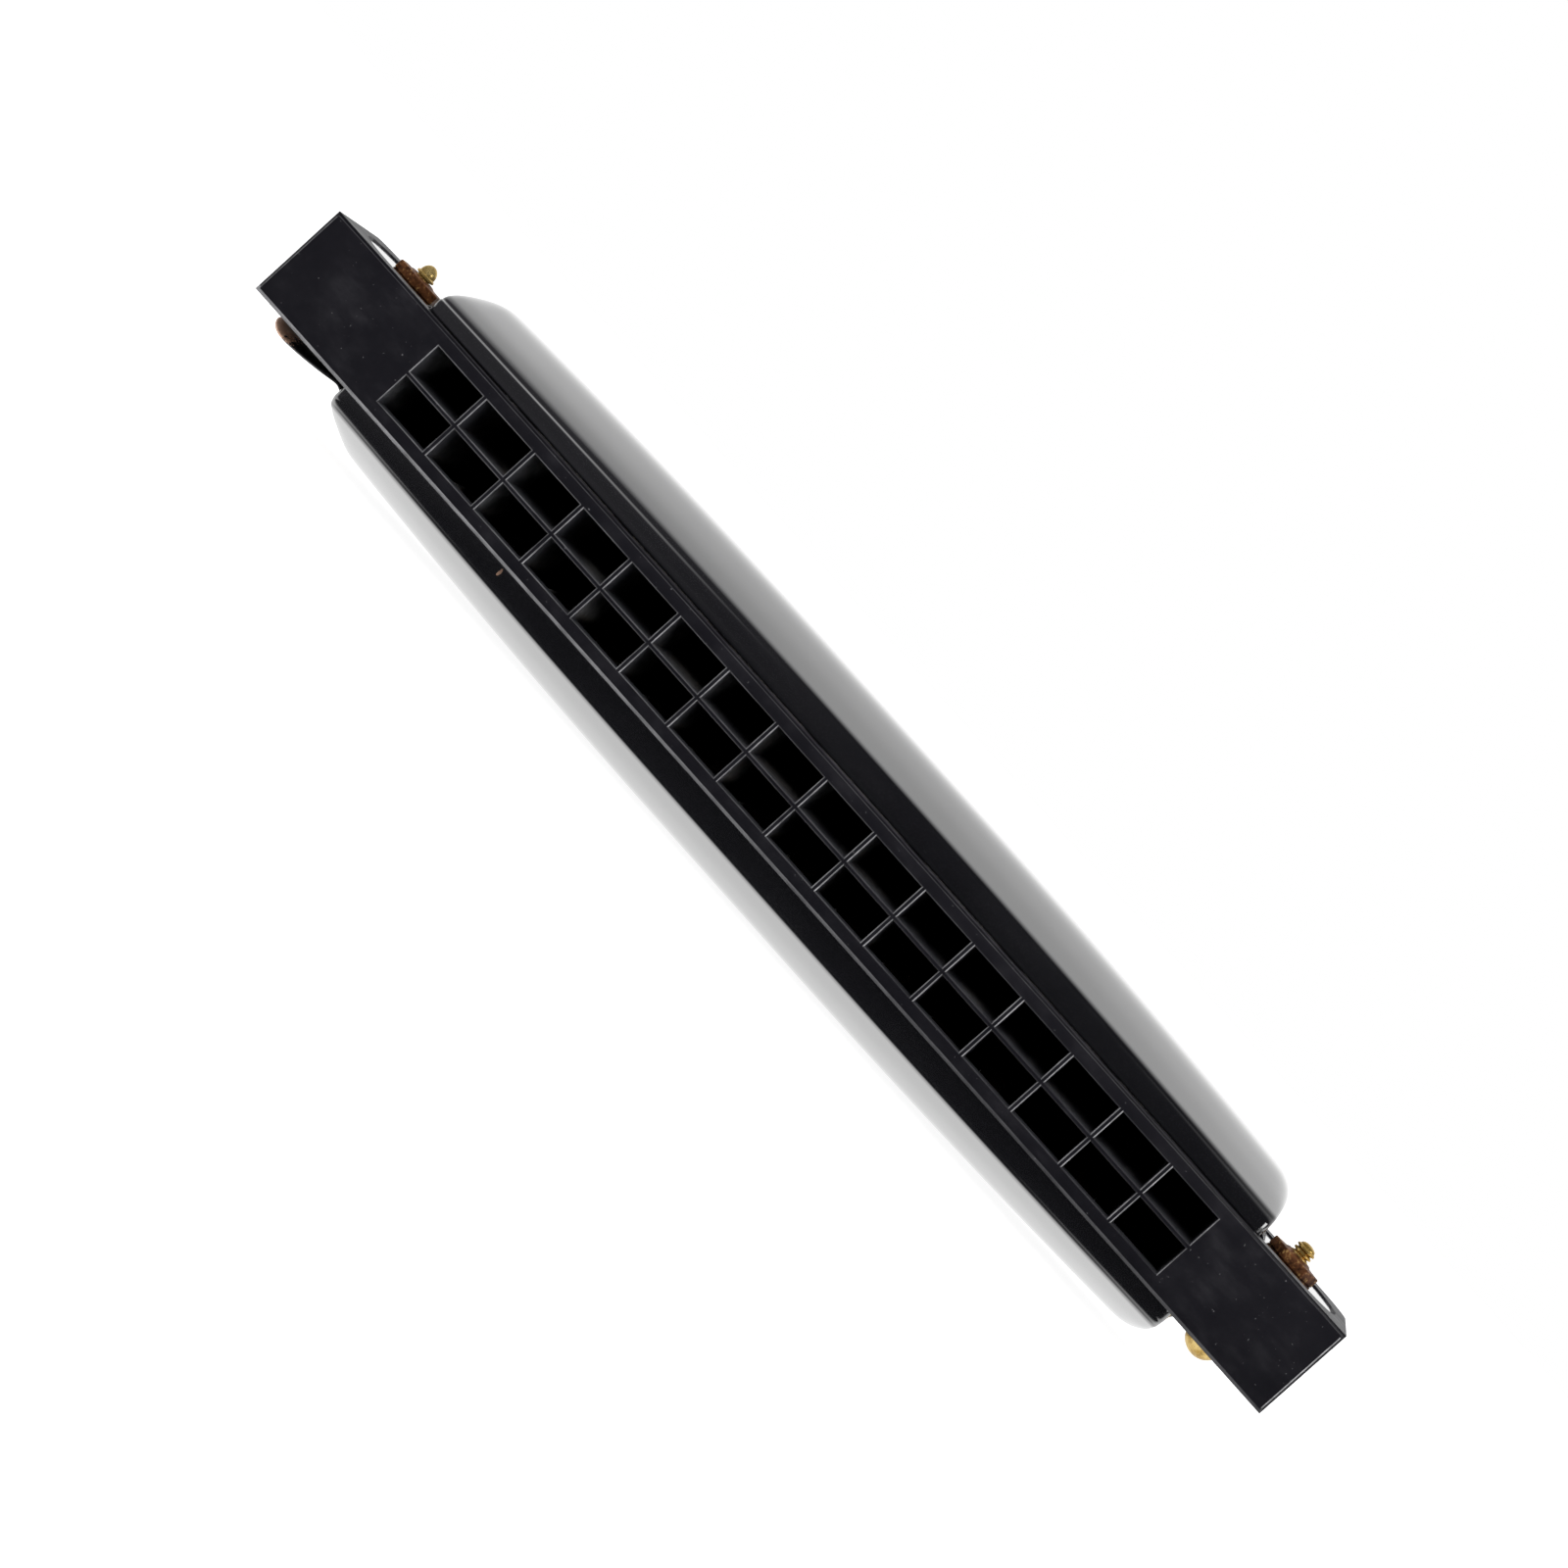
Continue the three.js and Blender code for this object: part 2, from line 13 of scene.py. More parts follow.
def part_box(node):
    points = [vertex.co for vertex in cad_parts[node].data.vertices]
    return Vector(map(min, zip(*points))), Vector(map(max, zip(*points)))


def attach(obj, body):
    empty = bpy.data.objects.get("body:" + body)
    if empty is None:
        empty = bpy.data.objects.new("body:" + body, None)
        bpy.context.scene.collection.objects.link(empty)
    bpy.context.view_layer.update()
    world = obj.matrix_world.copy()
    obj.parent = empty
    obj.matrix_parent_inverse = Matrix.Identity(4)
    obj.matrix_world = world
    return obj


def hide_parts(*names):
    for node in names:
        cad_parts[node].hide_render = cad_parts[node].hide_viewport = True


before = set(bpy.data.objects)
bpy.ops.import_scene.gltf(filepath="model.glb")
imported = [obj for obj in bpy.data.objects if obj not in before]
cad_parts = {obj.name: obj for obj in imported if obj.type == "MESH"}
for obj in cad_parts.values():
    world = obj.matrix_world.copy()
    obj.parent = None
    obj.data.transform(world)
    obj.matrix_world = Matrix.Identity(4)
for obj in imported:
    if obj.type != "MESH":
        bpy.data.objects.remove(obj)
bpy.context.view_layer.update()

BODY = "instrument"
END_SIDES = {"left": -1, "right": 1}
LAYER_SIDES = {"upper": 1, "lower": -1}

# Covers: one pressed sheet each, with an end tab at both ends
COVER_HALF_LENGTH = 0.0564
SHEET_THICKNESS = 0.0004
SHOULDER_LENGTH = 0.0036
CROWN_FLAT_HALF_LENGTH = 0.010
CORNER_RADIUS = 0.0009
REAR_OPENING_FROM_END = 0.0074
REAR_OPENING_HEIGHT = 0.0049
FOOT_ROW_HEIGHT_SHARE = 0.02
SHOULDER_START_SHARE = 0.42
SHOULDER_POWERS = {END_SIDES["left"]: 1.9, END_SIDES["right"]: 2.6}
SHOULDER_SHARPNESS = 6
CROWN_DROP_SHARE = 0.215
SHOULDER_STATION_SHARES = [0, 0.04, 0.12, 0.24, 0.4, 0.6, 0.8, 1]
LENGTH_STATION_COUNT = 12
WALL_TOP_ROW = 2
# Rows of a cover's section, as shares of its depth and its rise: front wall, ledge, dome and rear wall
SECTION_SHARES = [
    (0, 0), (0, FOOT_ROW_HEIGHT_SHARE), (0, 0.25), (0.0045, 0.285), (0.014, 0.325), (0.026, 0.365),
    (0.033, 0.385), (0.04, 0.407), (0.051, 0.444), (0.068, 0.478), (0.093, 0.509), (0.17, 0.608),
    (0.252, 0.71), (0.34, 0.808), (0.428, 0.9), (0.5, 0.958), (0.563, 0.988), (0.626, 1), (0.7, 1),
    (0.761, 1), (0.842, 0.992), (0.89, 0.981), (0.928, 0.967), (0.977, 0.93), (1, 0.889),
    (1, FOOT_ROW_HEIGHT_SHARE), (1, 0),
]
# Heights of the rows from the wall's top on, where the upper cover's ledge is at its fullest
LEDGE_HEIGHT_SHARES = [0.23, 0.28, 0.303, 0.313, 0.328, 0.365, 0.4, 0.442, 0.487]
LEDGE_FULL_X = -0.045
LEDGE_GONE_X = -0.005
REAR_TOP_ROW = len(SECTION_SHARES) - 3

# The covers' end tabs, measured from the comb's faces and the covers' ends
TAB_TOP = -0.00015
TAB_LENGTH = 0.0100
TAB_HALF_WIDTH = 0.008
TAB_TIP_LENGTH = 0.005
TAB_TIP_POWER = 2.4
TAB_FILLET = 0.0012
TAB_BEND_DROP = 0.00105
PULLED_TAB_TIP_POWER = 3.6
TAB_CURL_DROP = 0.0010
TAB_CURL_POWER = 7
TAB_CURL_START_POWER = 0.15
TAB_CURL_TIP_POWER = 5
TAB_FIRST_ROW = 9
TAB_LAST_ROW = 20
FILLET_STATION_SHARES = [0.08, 0.25, 0.5, 0.75, 1]
TAB_STRAIGHT_SHARES = [0.25, 0.5, 0.75, 1]
TAB_TIP_SHARES = [0.3, 0.54, 0.74, 0.89, 0.985]
TAB_HOLE_RADIUS = 0.00125
PULLED_TAB_HOLE_RADIUS = 0.0027

# Screws and nuts
SCREW_PAST_COVER = 0.0041
SCREW_RADIUS = 0.00095
THREAD_ROOT_RADIUS = 0.00074
THREAD_CREST_RADIUS = 0.00104
THREAD_PITCH = 0.00042
THREAD_STARTS = {"left": 0.00022, "right": 0.0}
THREAD_RIDGES = {"left": 1, "right": 3}
THREAD_RIDGE_SHARES = [0.3, 0.5, 0.7]
TIP_RADII = {"left": 0.00086, "right": 0.00084}
SCREW_PAST_NUT = 0.00165
HEAD_RADII = {"left": 0.0023, "right": 0.00195}
HEAD_HEIGHTS = {"left": 0.0011, "right": 0.002}
HEAD_RIM = 0.00025
HEAD_SLOT_WIDTH = 0.0006
HEAD_SLOT_DEPTH = 0.0007
NUT_SIDES = 6
NUT_CORNER_RADIUS = 0.00285
NUT_THICKNESS = 0.001
NUT_EDGE_BEVEL = 0.00014
NUT_BEVEL_STEPS = 3
NUT_BEVEL_ROUNDNESS_SHARE = 0.5
NUT_COLLAR_RADIUS = 0.0017
NUT_COLLAR_TOP_RADIUS = 0.00132
NUT_COLLAR_HEIGHTS = {"left": 0.00016, "right": 0.00022}
NUT_BORE_RADIUS = 0.00115
NUT_TURN = {"left": math.radians(30), "right": 0.0}
TURNED_STEPS = 56
DOME_STEPS = 10
OVERSHOOT = 0.003

# Shading of edges, and the distance below which corners are one
SMOOTH_ANGLE = math.radians(38)
COMB_SMOOTH_ANGLE = math.radians(50)
MERGE_DISTANCE = 0.000001
FLAT_ANGLE = math.radians(0.4)
SUBDIVISION_LEVEL = 2

# The comb's rims: how far behind the mouth face its chamfered edges begin and end, how far from
# the comb's middle the holes and their rims reach, and where the chambers end
RIM_START_DEPTH = 0.00004
HOLE_RIM_DEPTH = 0.00012
EDGE_DEPTH = 0.00035
RIM_BLEND = 0.00003
HOLE_RIM_REACH = 0.0047
HOLES_HALF_LENGTH = 0.0532
CHAMBER_REAR = 0.0088

# How strongly highlights are painted on the rims, along the comb and by the side that they face
SIDE_FACING_START = 0.15
SIDE_FACING_FULL = 0.5
LEFT_FACING_SHARE = 0.55
UPRIGHT_RIM_PLACES = (-0.06, 0.05)
UPRIGHT_RIM_SHARES = (0.55, 0.95)
LEVEL_RIM_PLACES = (-0.06, 0.03)
LEVEL_RIM_SHARES = (1.0, 0.22)
LEVEL_HOLE_RIM_SHARE = 0.3
LOWER_EDGE_SHARE = 0.75
UPPER_LINES_SHARE = 0.14

# A noise's usual values, and those in the middle of them
NOISE_RANGE = (0.3, 0.7)
NOISE_MIDDLE = (0.35, 0.65)

# The comb's plastic
COMB_CLOUDS = {"scale": 210, "detail": 6.0, "roughness": 0.62}
COMB_WIPES = {"scale": 620, "detail": 5.0, "roughness": 0.6, "stretch": (0.5, 1, 1.6)}
COMB_SPECKS = {"scale": 3100, "detail": 2.0, "roughness": 0.5}
COMB_GRAIN = {"scale": 5200, "detail": 3.0, "roughness": 0.6}
COMB_SCRATCHES = {"scale": 2600, "detail": 2.0, "roughness": 0.5, "stretch": (0.07, 1, 1)}
COMB_BLACKS = ((0.0066, 0.0062, 0.0088), (0.0092, 0.0086, 0.0116))
COMB_DUST_COLOUR = (0.020, 0.0192, 0.023)
COMB_DUST_CLOUDS = (0.47, 0.72)
COMB_DUST_WIPES = (0.4, 0.7)
COMB_SPECK_COLOUR = (0.10, 0.10, 0.105)
COMB_SPECK_PEAKS = (0.735, 0.76)
# Painted light: a lighter grey on the walls of the holes and chambers, where little lamp light reaches
COMB_PAINTED_HOLE_LIGHT = (0.05, 0.05, 0.058)
# Painted highlight: a light grey laid on the holes' rims and the comb's front edges
COMB_RIM_HIGHLIGHT_COLOUR = (0.42, 0.42, 0.43)
COMB_RIM_HIGHLIGHT_WIPES = (0.3, 0.6)
COMB_RIM_HIGHLIGHT_SHARES = (0.45, 1.0)
COMB_ROUGHNESSES = (0.36, 0.52)
COMB_SPECULAR_LEVEL = 0.3
COMB_BUMP_DEPTH = 0.000006
COMB_GRAIN_STRENGTH = 0.35
COMB_SCRATCH_STRENGTH = 0.3

# The covers' lacquer, and the two places where it is worn to the metal
LACQUER_BLACKS = ((0.0035, 0.0035, 0.0042), (0.0060, 0.0060, 0.0068))
LACQUER_HAZE = {"scale": 260, "detail": 5.0, "roughness": 0.6, "stretch": (0.35, 1, 1)}
LACQUER_HAZE_MIDDLE = (0.4, 0.7)
LACQUER_PEEL = {"scale": 420, "detail": 2.0, "roughness": 0.5}
LACQUER_PEEL_DEPTH = 0.0000006
LACQUER_PEEL_STRENGTH = 0.4
LACQUER_EDGE_DEPTH = 0.00003
LACQUER_EDGE_STRENGTH = 0.8
LACQUER_ROUGHNESSES = (0.10, 0.17)
LACQUER_IOR = 2.3
COAT_ROUGHNESS = 0.05
COAT_IOR = 1.7
BARE_COLOURS = ((0.70, 0.38, 0.24), (0.94, 0.62, 0.45))
BARE_PATINA = {"scale": 900, "detail": 6.0, "roughness": 0.65}
BARE_EDGE = {"scale": 1500, "detail": 4.0, "roughness": 0.6}
BARE_EDGE_RAGGED_SHARES = (-0.3, 0.3)
BARE_EDGE_SHARES = (1.08, 0.92)
BARE_ROUGHER = 0.28
BARE_METALNESS = 0.5
WORN_TIP_X = -0.0664
WORN_TIP_Y = -0.004
WORN_TIP_BELOW_MIDDLE = 0.0062
WORN_TIP_REACH = (0.0036, 0.0085, 0.004)
CHIP_X = -0.0340
CHIP_BELOW_MIDDLE = 0.0060
CHIP_REACH = (0.00014, 0.0004, 0.00042)

# Metals. Lines follow the way each was made, and plates and reeds are painted near black inside the comb and
# at their front edges, as painted shade
METAL_WANDER = {"detail": 5.0, "roughness": 0.6}
METAL_STAINS = {"detail": 6.0, "roughness": 0.65}
METAL_LINES = {"detail": 3.0, "roughness": 0.55}
METAL_STAIN_PEAKS = (0.52, 0.74)
METAL_STAIN_ROUGHER = 0.15
METAL_LINE_DEPTH = 0.000008
METAL_LINE_STRENGTH = 0.5
# Painted shade: the near black laid on plates and reeds inside the comb and at their front edges
INNER_SHADE_COLOUR = (0.012, 0.009, 0.006)
SHADE_FULL_PAST_PLATE = 0.0006
SHADE_GONE_PAST_PLATE = 0.00085
SHADE_FULL_BEHIND_COVER = 0.0002
SHADE_GONE_BEHIND_COVER = 0.0004
METALS = {
    "plate_brass": {
        "name": "plate_rolled_brass", "colours": ((0.56, 0.36, 0.13), (0.74, 0.53, 0.24)),
        "stain": (0.22, 0.12, 0.05), "stain_share": 0.5, "roughnesses": (0.24, 0.42), "metalness": 1.0,
        "wander_scale": 160, "stain_scale": 420, "line_scale": 2400, "line_stretch": (0.03, 1, 1),
        "shaded_inside": True,
    },
    "reed_brass": {
        "name": "reed_ground_brass", "colours": ((0.62, 0.43, 0.18), (0.83, 0.64, 0.34)),
        "stain": (0.30, 0.17, 0.08), "stain_share": 0.35, "roughnesses": (0.20, 0.36), "metalness": 1.0,
        "wander_scale": 500, "stain_scale": 900, "line_scale": 5200, "line_stretch": (1, 0.04, 1),
        "shaded_inside": True,
    },
    "screw_brass": {
        "name": "screw_turned_brass", "colours": ((0.52, 0.32, 0.07), (0.94, 0.70, 0.28)),
        "stain": (0.13, 0.065, 0.02), "stain_share": 0.6, "roughnesses": (0.2, 0.34), "metalness": 0.8,
        "wander_scale": 900, "stain_scale": 1500, "line_scale": 2600, "line_stretch": (1, 1, 3),
        "shaded_inside": False,
    },
    "nail_steel": {
        "name": "nail_dull_steel", "colours": ((0.26, 0.25, 0.24), (0.46, 0.45, 0.43)),
        "stain": (0.16, 0.08, 0.04), "stain_share": 0.6, "roughnesses": (0.34, 0.5), "metalness": 1.0,
        "wander_scale": 900, "stain_scale": 1200, "line_scale": 3600, "line_stretch": (1, 1, 0.3),
        "shaded_inside": False,
    },
}
BRONZE_BLOTCHES = {"scale": 1300, "detail": 6.0, "roughness": 0.7}
BRONZE_BLOTCH_MIDDLE = (0.36, 0.62)
BRONZE_BROWNS = ((0.05, 0.018, 0.008), (0.27, 0.105, 0.04))
BRONZE_RUBS = {"scale": 2600, "detail": 3.0, "roughness": 0.5}
BRONZE_RUB_PEAKS = (0.58, 0.7)
BRONZE_RUBBED_COLOUR = (0.55, 0.33, 0.12)
BRONZE_METALNESS = 0.55
BRONZE_ROUGHNESSES = (0.62, 0.36)
BRONZE_BUMP_DEPTH = 0.00004
BRONZE_BUMP_STRENGTH = 0.6

# A Mix node's colour sockets, which share their names with its other sockets
MIX_FIRST_COLOUR = 6
MIX_SECOND_COLOUR = 7
MIX_COLOUR_RESULT = 2

# Studio. What shows in reflections is white, dark or grey. Each pair of numbers is where a change
# begins and where it is complete, in places on the floor or in directions of the room
WHITE = (1.0, 1.0, 1.0)
MIRRORED_DARK = (0.022, 0.022, 0.026)
MIRRORED_GREY = (0.085, 0.083, 0.092)
FLOOR_HALF_SIZE = 1.0
FLOOR_COLOUR = (0.8, 0.8, 0.8)
FLOOR_ROUGHNESS = 1.0
FLOOR_LIFT = 0.8
FLOOR_DARK_TO_WHITE = (-0.0080, -0.0066)
FLOOR_DARK_TO_GREY = (-0.04, -0.09)
FLOOR_ENDS_TO_WHITE = (0.0590, 0.0605)
FLOOR_ENDS_FRONT = (-0.020, -0.012)
ROOM_DARK_TO_WHITE = (0.2, 1.0)
ROOM_DARK_TO_GREY = (-0.06, -0.18)
LAMPS = [
    {"name": "front_softbox", "place": (0.0, -0.70, 0.50), "size": 0.60, "power": 5.0, "mirrored": False},
    {"name": "top_softbox", "place": (0.05, -0.10, 0.75), "size": 0.60, "power": 2.2, "mirrored": False},
    {"name": "left_softbox", "place": (-0.65, -0.30, 0.20), "size": 0.40, "power": 1.6, "mirrored": False},
    {"name": "right_softbox", "place": (0.65, -0.30, 0.20), "size": 0.40, "power": 1.6, "mirrored": True},
]

# Camera: what it looks at, from where, and how far it is turned about its own axis
LOOK_AT_X = -0.00217
LOOK_AT_ABOVE_MIDDLE = 0.00063
CAMERA_DISTANCE = 0.51
CAMERA_AZIMUTH = math.radians(4.33)
CAMERA_ELEVATION = math.radians(3.3)
CAMERA_ROLL = math.radians(-0.19)
PHOTO_TURN = math.radians(48.16)
CAMERA_LENS = 130.3
CAMERA_CLIP_START = 0.01

# Places worked out from the frame and the values above
comb_low, comb_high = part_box("comb")
upper_low, upper_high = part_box("cover_upper")
COMB_MIDDLE = (comb_low.z + comb_high.z) / 2
HALF_HEIGHT = (comb_high.z - comb_low.z) / 2
PLATE_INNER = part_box("reed_plate_upper")[0].z - COMB_MIDDLE
COVER_FRONT_Y = upper_low.y
COVER_REAR_Y = upper_high.y
COVER_DEPTH = COVER_REAR_Y - COVER_FRONT_Y
COVER_MIDDLE_Y = (COVER_FRONT_Y + COVER_REAR_Y) / 2
COVER_RISE = upper_high.z - comb_high.z
SCREW_X = COVER_HALF_LENGTH + SCREW_PAST_COVER
TAB_TIP_START = COVER_HALF_LENGTH + TAB_LENGTH - TAB_TIP_LENGTH
REAR_OPENING_HALF_LENGTH = COVER_HALF_LENGTH - REAR_OPENING_FROM_END
NUT_SEAT = HALF_HEIGHT + TAB_TOP
NUT_TOP = NUT_SEAT + NUT_THICKNESS
TAB_FLOOR = NUT_SEAT - SHEET_THICKNESS
RIM_START = comb_low.y + RIM_START_DEPTH
HOLE_RIM_END = comb_low.y + HOLE_RIM_DEPTH
EDGE_END = comb_low.y + EDGE_DEPTH
HOLE_RIMS_BOTTOM = COMB_MIDDLE - HOLE_RIM_REACH
HOLE_RIMS_TOP = COMB_MIDDLE + HOLE_RIM_REACH
WORN_TIP = (WORN_TIP_X, WORN_TIP_Y, COMB_MIDDLE - WORN_TIP_BELOW_MIDDLE)
WALL_CHIP = (CHIP_X, COVER_FRONT_Y, COMB_MIDDLE - CHIP_BELOW_MIDDLE)


def new_object(name, shape):
    """Turns a bmesh into an object of that name."""
    mesh = bpy.data.meshes.new(name)
    shape.to_mesh(mesh)
    shape.free()
    made = bpy.data.objects.new(name, mesh)
    bpy.context.scene.collection.objects.link(made)
    return made


def settle(piece):
    """Applies a piece's modifiers to its mesh."""
    bpy.context.view_layer.update()
    graph = bpy.context.evaluated_depsgraph_get()
    before = piece.data
    piece.data = bpy.data.meshes.new_from_object(piece.evaluated_get(graph))
    piece.modifiers.clear()
    piece.data.name = piece.name
    bpy.data.meshes.remove(before)


def combine(piece, tool, operation):
    """Cuts a tool out of a piece, or joins it on, and removes the tool."""
    step = piece.modifiers.new(operation.lower(), "BOOLEAN")
    step.operation = operation
    step.solver = "EXACT"
    step.object = tool
    settle(piece)
    spent = tool.data
    bpy.data.objects.remove(tool)
    bpy.data.meshes.remove(spent)


def round_bar(radius, low, high, x):
    """A plain bar along Z, for cutting a hole."""
    shape = bmesh.new()
    place = Matrix.Translation((x, 0, (low + high) / 2))
    bmesh.ops.create_cone(
        shape, cap_ends=True, segments=TURNED_STEPS, radius1=radius, radius2=radius,
        depth=high - low, matrix=place,
    )
    return new_object("bar", shape)


def turned(name, profile, x):
    """A turned piece along Z through x, from pairs of a radius and a height. Both ends are on the axis."""
    shape = bmesh.new()
    corners = [shape.verts.new((x + radius, 0, height)) for radius, height in profile]
    edges = [shape.edges.new(pair) for pair in zip(corners, corners[1:])]
    bmesh.ops.spin(
        shape, geom=corners + edges, cent=(x, 0, 0), axis=(0, 0, 1), dvec=(0, 0, 0),
        angle=2 * math.pi, steps=TURNED_STEPS, use_merge=True,
    )
    bmesh.ops.remove_doubles(shape, verts=shape.verts, dist=MERGE_DISTANCE)
    bmesh.ops.recalc_face_normals(shape, faces=shape.faces)
    return new_object(name, shape)


def smooth_by_angle(piece, angle):
    """Shades a piece smooth, but for its sharp edges."""
    piece.data.shade_smooth()
    piece.data.set_sharp_from_angle(angle=angle)


def finish_piece(piece, material, slot, *nodes):
    """Gives a piece its material, hangs it on its body and hides the imported parts that it stands in for."""
    piece.data.materials.clear()
    piece.data.materials.append(material)
    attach(piece, BODY)
    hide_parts(*nodes)


# Shader nodes

class Nodes:
    """The nodes of a material or of the world, with short ways to add and join them."""

    def __init__(self, tree):
        self.tree = tree

    def feed(self, node, inputs):
        """Sets a node's inputs to plain values, or joins them to other nodes' outputs."""
        for name, value in inputs.items():
            if isinstance(value, bpy.types.NodeSocket):
                self.tree.links.new(value, node.inputs[name])
            else:
                node.inputs[name].default_value = value

    def add(self, kind, **inputs):
        """A new node, with its inputs fed."""
        node = self.tree.nodes.new(kind)
        self.feed(node, inputs)
        return node

    def place(self):
        """A point's place along its object's own axes."""
        return self.add("ShaderNodeTexCoord").outputs["Object"]

    def axes(self, source):
        """The X, Y and Z of a place or a direction."""
        return self.add("ShaderNodeSeparateXYZ", Vector=source).outputs

    def noise(self, source, scale, detail, roughness, stretch=None):
        """A noise pattern, drawn out along each axis whose stretch is under 1."""
        if stretch:
            source = self.add("ShaderNodeMapping", Vector=source, Scale=stretch).outputs["Vector"]
        pattern = self.add("ShaderNodeTexNoise", Scale=scale, Detail=detail, Roughness=roughness)
        self.feed(pattern, {"Vector": source})
        return pattern.outputs["Fac"]

    def spread(self, source, start_end, to=(0, 1)):
        """Stretches a value from one range to another, and keeps it there."""
        ranged = self.add("ShaderNodeMapRange", Value=source)
        self.feed(ranged, {"From Min": start_end[0], "From Max": start_end[1]})
        self.feed(ranged, {"To Min": to[0], "To Max": to[1]})
        return ranged.outputs["Result"]

    def band(self, value, low, high):
        """1 between two values, and 0 past a short blend on either side."""
        risen = self.spread(value, (low - RIM_BLEND, low))
        return self.product(risen, self.spread(value, (high + RIM_BLEND, high)))

    def sum_up(self, operation, first, *others):
        """One kind of sum, taken from value to value. Each is a plain number or another node's.
        A value that stands alone gets 0 beside it, which an absolute value doesn't read."""
        result = first
        for other in others or (0,):
            step = self.add("ShaderNodeMath")
            step.operation = operation
            self.feed(step, {0: result, 1: other})
            result = step.outputs["Value"]
        return result

    def product(self, *values):
        """All the values multiplied."""
        return self.sum_up("MULTIPLY", *values)

    def largest(self, *values):
        """The largest of the values."""
        return self.sum_up("MAXIMUM", *values)

    def mixed(self, factor, first, second):
        """Mixes two colours, either of which may be a plain colour or another node's."""
        mix = self.add("ShaderNodeMix")
        mix.data_type = "RGBA"
        self.feed(mix, {"Factor": factor})
        self.feed(mix, {MIX_FIRST_COLOUR: opaque(first), MIX_SECOND_COLOUR: opaque(second)})
        return mix.outputs[MIX_COLOUR_RESULT]

    def mixed_shaders(self, factor, first, second):
        """The first shader where the factor is 0, and the second where it is 1."""
        mix = self.add("ShaderNodeMixShader", Fac=factor)
        self.feed(mix, {1: first, 2: second})
        return mix.outputs["Shader"]

    def bump(self, height, distance, strength, before=None):
        """A bumpy surface, over another one if there is one before it."""
        node = self.add("ShaderNodeBump", Height=height, Distance=distance, Strength=strength)
        if before is not None:
            self.feed(node, {"Normal": before})
        return node.outputs["Normal"]

    def scaled_distance(self, place, centre, reach):
        """The distance from a centre, which is 1 at the reach along each axis."""
        result = place
        for operation, operand in (("SUBTRACT", centre), ("DIVIDE", reach)):
            step = self.add("ShaderNodeVectorMath")
            step.operation = operation
            self.feed(step, {0: result, 1: operand})
            result = step.outputs["Vector"]
        distance = self.add("ShaderNodeVectorMath")
        distance.operation = "LENGTH"
        self.feed(distance, {0: result})
        return distance.outputs["Value"]


def opaque(colour):
    """A plain colour with its alpha. Another node's colour stays as it is."""
    return (*colour, 1) if isinstance(colour, tuple) else colour


def new_material(name):
    """A material with a plain shader, and its nodes."""
    material = bpy.data.materials.new(name)
    material.use_nodes = True
    nodes = Nodes(material.node_tree)
    return material, nodes, material.node_tree.nodes["Principled BSDF"]


# Materials

def hole_rows(nodes, up):
    """1 at the height of the mouth holes and their rims."""
    return nodes.band(up, HOLE_RIMS_BOTTOM, HOLE_RIMS_TOP)


def inside_holes(nodes, place):
    """1 on the walls of the mouth holes and the chambers behind them."""
    across, back, up = nodes.axes(place)
    from_middle = nodes.sum_up("ABSOLUTE", across)
    at_columns = nodes.spread(from_middle, (HOLES_HALF_LENGTH + RIM_BLEND, HOLES_HALF_LENGTH))
    in_depth = nodes.band(back, HOLE_RIM_END + RIM_BLEND, CHAMBER_REAR)
    return nodes.product(at_columns, in_depth, hole_rows(nodes, up))


def painted_rim_highlights(nodes, place):
    """How strongly highlights are painted on the holes' rims, on the comb's lower front edge and in two faint
    lines above the holes, most on rims that face sideways.
    """
    across, back, up = nodes.axes(place)
    # Painted highlights are stronger on rims that face sideways, where the side lamps would light them
    normal = nodes.add("ShaderNodeNewGeometry").outputs["True Normal"]
    sideways = nodes.axes(normal)["X"]
    faces_right = nodes.spread(sideways, (SIDE_FACING_START, SIDE_FACING_FULL))
    faces_left = nodes.spread(sideways, (-SIDE_FACING_START, -SIDE_FACING_FULL), (0, LEFT_FACING_SHARE))
    from_left = nodes.spread(across, UPRIGHT_RIM_PLACES, UPRIGHT_RIM_SHARES)
    upright = nodes.product(nodes.largest(faces_right, faces_left), from_left)
    along = nodes.spread(across, LEVEL_RIM_PLACES, LEVEL_RIM_SHARES)
    level = nodes.product(along, LEVEL_HOLE_RIM_SHARE)
    in_depth = nodes.band(back, RIM_START, HOLE_RIM_END)
    hole_rims = nodes.product(in_depth, hole_rows(nodes, up), nodes.largest(level, upright))
    below = nodes.spread(up, (HOLE_RIMS_BOTTOM, HOLE_RIMS_BOTTOM - RIM_BLEND))
    at_edge = nodes.band(back, RIM_START, EDGE_END)
    lower_edge = nodes.product(at_edge, below, nodes.product(along, LOWER_EDGE_SHARE))
    above = nodes.spread(up, (HOLE_RIMS_TOP, HOLE_RIMS_TOP + RIM_BLEND))
    front_line = nodes.band(back, RIM_START, RIM_START + RIM_BLEND)
    rear_line = nodes.band(back, EDGE_END - RIM_BLEND, EDGE_END)
    upper_lines = nodes.product(nodes.largest(front_line, rear_line), above, UPPER_LINES_SHARE)
    return nodes.largest(hole_rims, lower_edge, upper_lines)


